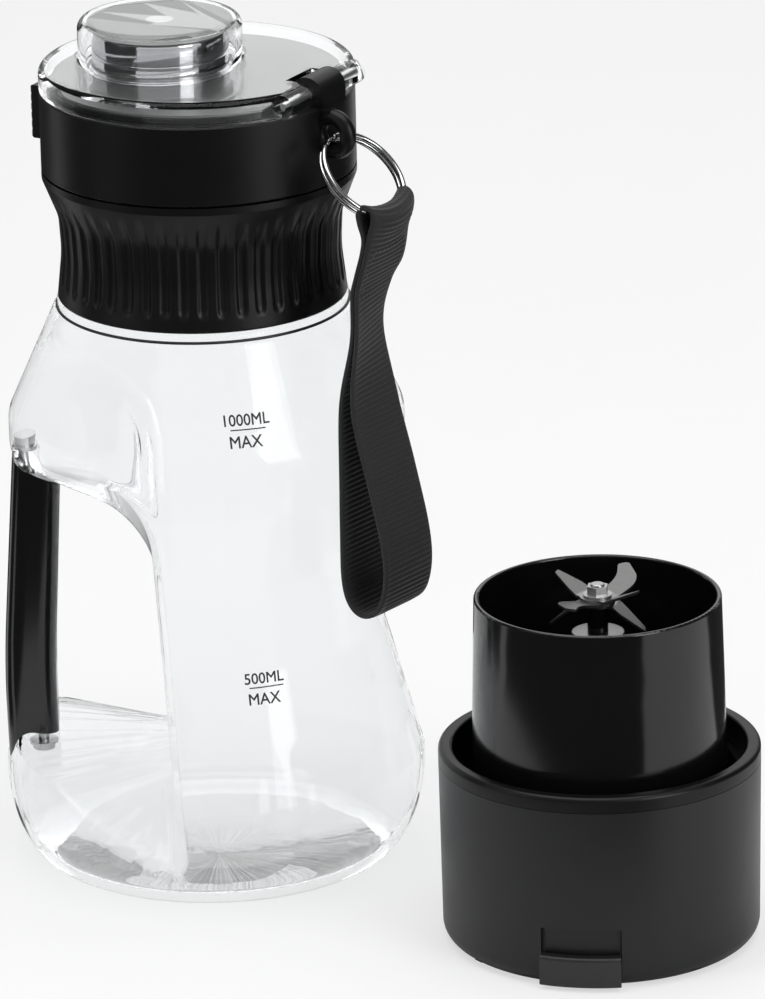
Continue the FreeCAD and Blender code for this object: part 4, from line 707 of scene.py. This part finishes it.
# ---------------------------------------------------------------------------------------------
# Collar, spout, ring and strap
# ---------------------------------------------------------------------------------------------
COLLAR_FLUTES = 46
COLLAR_FLUTE_DEEP = 0.75
COLLAR_FLUTE_HALF = 1.75
COLLAR_FLUTE_EDGE = 1.1
COLLAR_FLUTE_FOOT = 4.2
COLLAR_FLUTE_TOP, COLLAR_FLUTE_FADE = 3.5, 8.0
COLUMNS_PER_FLUTE = 16


def make_collar():
    """A turned sleeve whose side is pushed in by upright grooves: round-ended at the foot, fading out
    at the flare. The depth is a smooth step of the distance from each groove's middle line."""
    low, high = box_of("neck_collar")
    foot, top = low[2], high[2]
    bore = NECK_RADIUS + 0.05
    side = rounded([(bore, foot), (41.0, foot, 0.6), (39.5, foot + 13.5, 40.0), (40.1, top - 13.0, 14.0),
                    (44.4, top - 2.0, 1.2), (44.4, top), (bore, top)], steps=8)
    outer = slice(1, len(side) - 2)
    rise = with_levels(side[outer], np.arange(foot + 1.0, top - 1.0, 0.8))
    profile = np.concatenate([side[:1], rise, side[-2:]])
    grid = spin(profile, COLLAR_FLUTES * COLUMNS_PER_FLUTE)
    x, y, z = grid[..., 0], grid[..., 1], grid[..., 2]
    radius = np.hypot(x, y)
    share = np.mod(np.arctan2(y, x) * COLLAR_FLUTES / math.tau, 1.0) - 0.5
    aside = share * math.tau / COLLAR_FLUTES * radius
    start = foot + COLLAR_FLUTE_FOOT + COLLAR_FLUTE_HALF
    reach = np.hypot(aside, np.maximum(start - z, 0.0))
    fade = smooth_step((top - COLLAR_FLUTE_TOP - z) / COLLAR_FLUTE_FADE)
    deep = COLLAR_FLUTE_DEEP * smooth_step((COLLAR_FLUTE_HALF - reach) / COLLAR_FLUTE_EDGE) * fade
    deep = np.where(radius > bore + 0.5, deep, 0.0)
    grown = (radius - deep) / radius
    return piece("ribbed_collar", [np.stack([x * grown, y * grown, z], -1)], "jug_body",
                 MATERIALS["satin_black"], ["neck_collar"], wrap_rows=True, sharp=60.0)


def make_spout():
    """A turned tube with a rolled lip, a fine seam at half its height and a thin flange on the deck."""
    low, high = box_of("spout")
    foot, top = low[2], high[2]
    deck_top = box_of("deck_plate")[1][2]
    outer, bore, flange = 19.3, 17.3, 21.0
    seam = (deck_top + top) / 2 + 0.2
    profile = rounded([
        (bore, foot), (outer, foot), (outer, deck_top), (flange, deck_top), (flange, deck_top + 0.6, 0.25),
        (outer + 0.02, deck_top + 0.6, 0.2), (outer, seam - 0.35, 0.2), (outer - 0.3, seam - 0.15),
        (outer - 0.3, seam + 0.15), (outer, seam + 0.35, 0.2), (outer, top, 0.9), (bore, top, 0.9)],
        closed=True, steps=5)
    centre = (low + high) / 2
    return piece("spout_tube", [spin(profile, 144, centre[0], centre[1])], "lid_body",
                 MATERIALS["chrome_part"], ["spout"], wrap_rows=True)


RING_MIDDLE = (57.2, 210.5)
RING_RADIUS = 13.4
RING_WIRE = 1.6
RING_TILT = math.radians(46.0)
WIRE_START, WIRE_END = math.radians(13.0), math.radians(707.0)
CROSS_START, CROSS_SPAN = math.radians(349.0), math.radians(22.0)
WIRE_TURNED = math.radians(200.0)


def strap_frame(s, w, z):
    """Points given along the strap's heading, across it, and up."""
    return turn(np.stack([s, w, z], -1), STRAP_HEADING)


def make_split_ring():
    """One springy wire wound twice: p = middle + (R + r cos b) outwards + (offset + r sin b) along the
    ring's axis, where the offset jumps from one side to the other as the wire passes its own ends."""
    way = np.linspace(WIRE_START, WIRE_END, 300)
    jump = smooth_step((way - CROSS_START) / CROSS_SPAN)
    offset = (jump - 0.5) * RING_WIRE
    around = np.linspace(0.0, math.tau, 16, endpoint=False)
    radial = RING_RADIUS + RING_WIRE / 2 * np.cos(around)[None] + 0.0 * way[:, None]
    aside = offset[:, None] + RING_WIRE / 2 * np.sin(around)
    radial[[0, -1]] = RING_RADIUS
    aside[[0, -1]] = offset[[0, -1], None]
    way = way + WIRE_TURNED
    out = radial * np.cos(way)[:, None]
    s = RING_MIDDLE[0] + out * math.cos(RING_TILT) + aside * math.sin(RING_TILT)
    z = RING_MIDDLE[1] - out * math.sin(RING_TILT) + aside * math.cos(RING_TILT)
    w = radial * np.sin(way)[:, None]
    return piece("double_ring", [strap_frame(s, w, z)], "ring_body", MATERIALS["chrome_part"],
                 ["split_ring"], sharp=70.0)


STRAP_WIDE = 22.0
STRAP_THICK = 1.35
RIB_PITCH = 1.5
RIB_HIGH = 0.19
SELVEDGE = 0.7
STRAP_EDGE = 0.5
RAIL_INSET, RAIL_POINTS = 1.2, 9
STRAP_SWING, SWING_TOP, SWING_SPAN = -4.0, 194.0, 50.0
STRAP_LEAN, LEAN_SPAN = 0.5, 17.0
RING_LEVEL, TWIST_SPAN = 184.0, 10.0
RING_TWIST, BEND_TWIST = math.radians(5.0), math.radians(17.0)
BEND_LEVEL, BEND_SPREAD = 168.0, 15.0
STITCH_HALF = 8.6
STITCH_LOW, STITCH_HIGH = 178.5, 192.0
STITCH_PITCH = 1.9
BEAD_HALF = (0.62, 0.2, 0.16)
BEAD_ABOVE = 0.05
STRAP_ROUTE = [
    (66.7, 194.4), (65.4, 191.0), (62.8, 184.5), (60.6, 178.0), (60.0, 165.0), (62.8, 145.0), (67.7, 127.0),
    (72.0, 110.0), (72.9, 99.0), (70.6, 90.4), (65.7, 86.9), (60.9, 88.8), (58.3, 96.0), (58.1, 112.0),
    (58.3, 130.0), (58.3, 165.0), (59.1, 178.0), (61.3, 184.5), (63.9, 191.0), (65.0, 194.8),
    (64.3, 198.2), (64.0, 201.0), (64.9, 202.9), (66.7, 203.6), (68.5, 202.8), (69.2, 201.0),
    (68.8, 198.6), (67.6, 196.2)]


def smooth_loop(points, step):
    """A closed smooth curve through points, by cubic blends of neighbouring points, spaced evenly."""
    points = np.array(points, float)
    before, after = np.roll(points, 1, 0), np.roll(points, -1, 0)
    beyond = np.roll(points, -2, 0)
    t = np.linspace(0.0, 1.0, 40, endpoint=False)[:, None, None]
    curve = 0.5 * (2 * points + (after - before) * t
                   + (2 * before - 5 * points + 4 * after - beyond) * t ** 2
                   + (3 * points - before - 3 * after + beyond) * t ** 3)
    curve = curve.transpose(1, 0, 2).reshape(-1, 2)
    curve = np.concatenate([curve, curve[:1]])
    run = np.append(0.0, np.cumsum(np.hypot(*np.diff(curve, axis=0).T)))
    count = int(run[-1] / step)
    even = np.linspace(0.0, run[-1], count, endpoint=False)
    return np.stack([np.interp(even, run, curve[:, 0]), np.interp(even, run, curve[:, 1])], 1), run[-1]


def strap_point(route, normal, aside, out):
    """Places of points out along the webbing's normal and aside along its width. Near the ring the
    whole width leans back to follow the ring's curve. The webbing is twisted by RING_TWIST near the
    ring and by a bell curve of BEND_TWIST about BEND_LEVEL, and swings sideways towards its foot."""
    s, z = route[..., 0] + normal[..., 0] * out, route[..., 1] + normal[..., 1] * out
    back = (RING_RADIUS - np.sqrt(RING_RADIUS ** 2 - aside ** 2)) * STRAP_LEAN
    share = smooth_step((z - RING_LEVEL) / LEAN_SPAN)
    level = z
    s = s - back * share * math.cos(RING_TILT)
    z = z + back * share * math.sin(RING_TILT)
    twist = (RING_TWIST * smooth_step((level - RING_LEVEL) / TWIST_SPAN)
             + BEND_TWIST * np.exp(-((level - BEND_LEVEL) / BEND_SPREAD) ** 2))
    swing = STRAP_SWING * smooth_step((SWING_TOP - level) / SWING_SPAN)
    return strap_frame(s - aside * np.sin(twist), aside * np.cos(twist) + swing, z)


def route_normals(route):
    """Unit normals of a closed route, pointing out of the loop's outer face."""
    along = np.roll(route, -1, 0) - np.roll(route, 1, 0)
    along /= np.hypot(*along.T)[:, None]
    return np.stack([-along[:, 1], along[:, 0]], 1)


def make_strap():
    """Webbing swept along its closed route: a flat section with rounded edges, its two faces raised
    by ribs across the width, cosine of the way along, that fade at the selvedges."""
    route, length = smooth_loop(STRAP_ROUTE, RIB_PITCH / 5.0)
    normal = route_normals(route)
    half, thick = STRAP_WIDE / 2, STRAP_THICK / 2
    section = rounded([(-half, -thick, STRAP_EDGE), (half, -thick, STRAP_EDGE),
                       (half, thick, STRAP_EDGE), (-half, thick, STRAP_EDGE)], closed=True, steps=3)
    rail = np.linspace(-half + RAIL_INSET, half - RAIL_INSET, RAIL_POINTS)
    face = np.full(RAIL_POINTS, thick)
    quarter = len(section) // 4
    section = np.concatenate([section[:quarter], np.stack([rail, -face], 1), section[quarter:3 * quarter],
                              np.stack([rail[::-1], face], 1), section[3 * quarter:]])
    across, out = section[:, 0], section[:, 1]
    run = np.arange(len(route)) * length / len(route)
    fade = smooth_step(half - SELVEDGE - np.abs(across))
    ribs = np.cos(math.tau * run / RIB_PITCH)[:, None] * RIB_HIGH * fade
    stand = out + np.sign(out) * ribs
    grid = strap_point(route[:, None], normal[:, None], across + 0.0 * stand, stand)
    lengths = np.append(run, length) * MM
    girth = np.append(0.0, np.cumsum(np.hypot(*np.diff(np.concatenate([section, section[:1]]), axis=0).T)))
    strap = piece("wrist_strap", [grid], "strap_body", MATERIALS["webbing"], ["carry_strap"],
                  wrap_rows=True, sharp=80.0, rings=[(lengths, girth * MM)])
    return strap, route, normal, length


def make_stitches(route, normal):
    """Box stitching through the two layers under the ring: short thread beads along a rectangle, each
    bead a small ellipsoid laid on the outer face."""
    half, low, high = STITCH_HALF, STITCH_LOW, STITCH_HIGH
    sides = [((-half, low), (half, low)), ((half, low), (half, high)), ((half, high), (-half, high)),
             ((-half, high), (-half, low))]
    spots, headings = [], []
    for start, end in sides:
        start, end = np.array(start), np.array(end)
        run = np.hypot(*(end - start))
        count = int(run / STITCH_PITCH)
        shares = (np.arange(count)[:, None] + 0.5) / count
        spots.append(start + (end - start) * shares)
        headings.append(np.repeat((end - start)[None] / run, count, 0))
    spots, headings = np.concatenate(spots), np.concatenate(headings)
    outer_side = np.arange(len(route)) < len(route) // 4
    levels, places, faces = route[outer_side, 1][::-1], route[outer_side][::-1], normal[outer_side][::-1]
    polar = np.linspace(0.0, math.pi, 5)
    around = np.linspace(0.0, math.tau, 8, endpoint=False)
    ahead = BEAD_HALF[0] * np.cos(polar)[:, None] + 0.0 * around
    side = BEAD_HALF[1] * np.sin(polar)[:, None] * np.cos(around)
    rise = BEAD_HALF[2] * np.sin(polar)[:, None] * np.sin(around)
    grids = []
    for spot, heading in zip(spots, headings):
        aside = spot[0] + heading[0] * ahead - heading[1] * side
        level = spot[1] + heading[1] * ahead + heading[0] * side
        s = np.interp(level, levels, places[:, 0])
        out = np.stack([np.interp(level, levels, faces[:, 0]), np.interp(level, levels, faces[:, 1])], -1)
        centre = np.stack([s, level], -1)
        grids.append(strap_point(centre, out, aside, STRAP_THICK / 2 + RIB_HIGH + BEAD_ABOVE + rise))
    return piece("strap_stitches", grids, "strap_body", THREAD, sharp=80.0)


# ---------------------------------------------------------------------------------------------
# Camera, light and floor
# ---------------------------------------------------------------------------------------------
def stand(thing, across, up, back, place):
    """Puts an object at a place, turned to three axes of its own."""
    turned = np.eye(4)
    turned[:3] = np.stack([across, up, back, place], 1)
    thing.matrix_world = Matrix(turned.tolist())


CAMERA_PLACE = (-0.001345, -2.1171, 0.8290)
CAMERA_LENS = 282.6


def make_camera():
    """A long lens in front of the jug, a little above it."""
    pitch, roll, yaw = 0.330, -0.022, 0.024
    ahead = np.array([math.sin(yaw) * math.cos(pitch), math.cos(yaw) * math.cos(pitch), -math.sin(pitch)])
    side = np.array([math.cos(yaw), -math.sin(yaw), 0.0])
    over = np.cross(side, ahead)
    across = math.cos(roll) * side + math.sin(roll) * over
    up = -math.sin(roll) * side + math.cos(roll) * over
    data = bpy.data.cameras.new("camera")
    data.lens = CAMERA_LENS
    data.sensor_width = 36.0
    data.clip_start, data.clip_end = 0.1, 20.0
    camera = new_object("camera", data)
    stand(camera, across, up, -ahead, CAMERA_PLACE)
    bpy.context.scene.camera = camera


def soft_box(name, place, aim, wide, tall, power):
    """A rectangular lamp facing a point."""
    data = bpy.data.lights.new(name, "AREA")
    data.shape = "RECTANGLE"
    data.size, data.size_y = wide, tall
    data.energy = power
    lamp = new_object(name, data)
    back = np.array(place) - np.array(aim)
    back /= np.linalg.norm(back)
    side = np.cross([0.0, 0.0, 1.0], back)
    side /= np.linalg.norm(side)
    stand(lamp, side, np.cross(back, side), back, place)


def studio_mesh(name, points, faces, material):
    mesh = bpy.data.meshes.new(name)
    mesh.from_pydata(points, [], faces)
    mesh.materials.append(material)
    return new_object(name, mesh)


FLOOR_REACH = 6.0
FLOOR_WHITE_SHARE, FLOOR_WHITE = 0.6, 0.98
WORLD_LIGHT, WORLD_WHITE = 0.28, 0.95
CARD_LIFT, SECTOR_LIFT = 0.002, 0.0015
SECTOR_X, SECTOR_Y = 0.04, -0.03
SECTOR_REACH = (0.20, 3.2)
SECTOR_STOPS = 13
SECTORS = ((-172.0, -50.0), (12.0, 62.0), (78.0, 140.0), (156.0, 178.0))


def make_floor():
    """A wide pale floor with a very faint mottle; camera and glass see it lifted towards white, with
    the object's shadow kept."""
    paper = finished("floor_paper", (0.90, 0.90, 0.90), (0.92, 0.92, 0.92), 0.9, grain=300.0, depth=0.0,
                     Specular_IOR_Level=0.1)
    tree = paper.node_tree
    seen = either_ray(tree, "Is Camera Ray", "Is Transmission Ray")
    share = add_node(tree, "ShaderNodeMath", [(0, seen)], operation="MULTIPLY")
    share.inputs[1].default_value = FLOOR_WHITE_SHARE
    white = add_node(tree, "ShaderNodeEmission", Strength=FLOOR_WHITE)
    mixed_surface(tree, "Material Output", share.outputs[0], tree.nodes["Principled BSDF"], white)
    reach = FLOOR_REACH
    floor = studio_mesh("floor", [(-reach, -reach, 0.0), (reach, -reach, 0.0), (reach, reach, 0.0),
                                  (-reach, reach, 0.0)], [(0, 1, 2, 3)], paper)


def make_black_cloth():
    """Black cloth with no gloss of its own."""
    material, _, shader = new_material("black_cloth")
    shader.inputs["Base Color"].default_value = (0.05, 0.05, 0.05, 1.0)
    shader.inputs["Specular IOR Level"].default_value = 0.0
    return material


def dark_card(name, cloth, x, y, heading, wide, tall):
    """A black studio card that only gloss and glass see, its foot CARD_LIFT above the floor."""
    across = np.array([math.cos(heading), math.sin(heading)]) * wide / 2
    left, right = (x, y) - across, (x, y) + across
    card = studio_mesh(name, [(*left, CARD_LIFT), (*right, CARD_LIFT), (*right, tall), (*left, tall)],
                       [(0, 1, 2, 3)], cloth)
    card.visible_camera = card.visible_shadow = card.visible_diffuse = False


def dark_sector(name, cloth, start, end):
    """A black cloth on the floor, a sector about the object, that only gloss sees: the walls mirror it,
    and the pale gaps between sectors become their long upright highlights."""
    turns = np.radians(np.linspace(start, end, SECTOR_STOPS))
    points = [(SECTOR_X + reach * math.cos(angle), SECTOR_Y + reach * math.sin(angle), SECTOR_LIFT)
              for reach in SECTOR_REACH for angle in turns]
    faces = [(n, n + 1, n + SECTOR_STOPS + 1, n + SECTOR_STOPS) for n in range(SECTOR_STOPS - 1)]
    card = studio_mesh(name, points, faces, cloth)
    card.visible_camera = card.visible_shadow = card.visible_diffuse = card.visible_transmission = False


def make_world():
    """Even pale light; camera and glass see plain white, gloss sees a dimmer room."""
    world = bpy.data.worlds.new("studio")
    bpy.context.scene.world = world
    world.use_nodes = True
    tree = world.node_tree
    light = tree.nodes["Background"]
    light.inputs["Color"].default_value = (1.0, 1.0, 1.0, 1.0)
    light.inputs["Strength"].default_value = WORLD_LIGHT
    white = add_node(tree, "ShaderNodeBackground", Strength=WORLD_WHITE)
    white.inputs["Color"].default_value = (1.0, 1.0, 1.0, 1.0)
    seen = either_ray(tree, "Is Camera Ray", "Is Transmission Ray")
    mixed_surface(tree, "World Output", seen, light, white)


def make_studio():
    make_camera()
    make_floor()
    make_world()
    middle = (0.03, -0.02, 0.10)
    soft_box("top_light", (0.0, -0.10, 1.5), middle, 1.5, 1.2, 15.0)
    soft_box("left_light", (-1.2, -0.55, 0.55), middle, 0.25, 1.0, 5.0)
    soft_box("right_light", (0.95, -1.0, 0.55), middle, 0.55, 0.9, 7.5)
    soft_box("back_light", (0.3, 1.3, 0.9), middle, 1.6, 0.8, 4.0)
    cloth = make_black_cloth()
    dark_card("left_card", cloth, -0.50, -0.30, math.radians(80.0), 0.8, 0.9)
    dark_card("right_card", cloth, 0.62, 0.10, math.radians(100.0), 0.7, 0.9)
    for number, (start, end) in enumerate(SECTORS):
        dark_sector(f"floor_card_{number}", cloth, start, end)


# ---------------------------------------------------------------------------------------------
# The whole object
# ---------------------------------------------------------------------------------------------
INK = finished("mark_ink", (0.010, 0.010, 0.011), (0.016, 0.016, 0.017), 0.5, grain=6000.0)
THREAD = finished("strap_thread", (0.055, 0.055, 0.058), (0.09, 0.09, 0.093), 0.6, grain=9000.0)

for node_name in frame["nodes"]:
    dress_node(node_name)

make_squeezed_spring("latch_coil", "latch_spring", "lid_body")
make_squeezed_spring("button_coil", "button_spring", "motor_unit")
make_jug()
make_screw_seats()
make_shoulder_ring()
for volume, along, level in MARKS:
    label = volume.lower()
    volume_mark(f"mark_{label}", volume, along, level + VOLUME_ABOVE, VOLUME_SIZE)
    volume_line(f"mark_line_{label}", along + LINE_ASIDE, level, LINE_LENGTH)
    volume_mark(f"mark_max_{label}", "MAX", along, level - MAX_BELOW, MAX_SIZE)
make_collar()
make_spout()
make_split_ring()
strap, strap_route, strap_normal, strap_length = make_strap()
stitches = make_stitches(strap_route, strap_normal)

make_studio()
bpy.context.scene.view_settings.view_transform = "Standard"
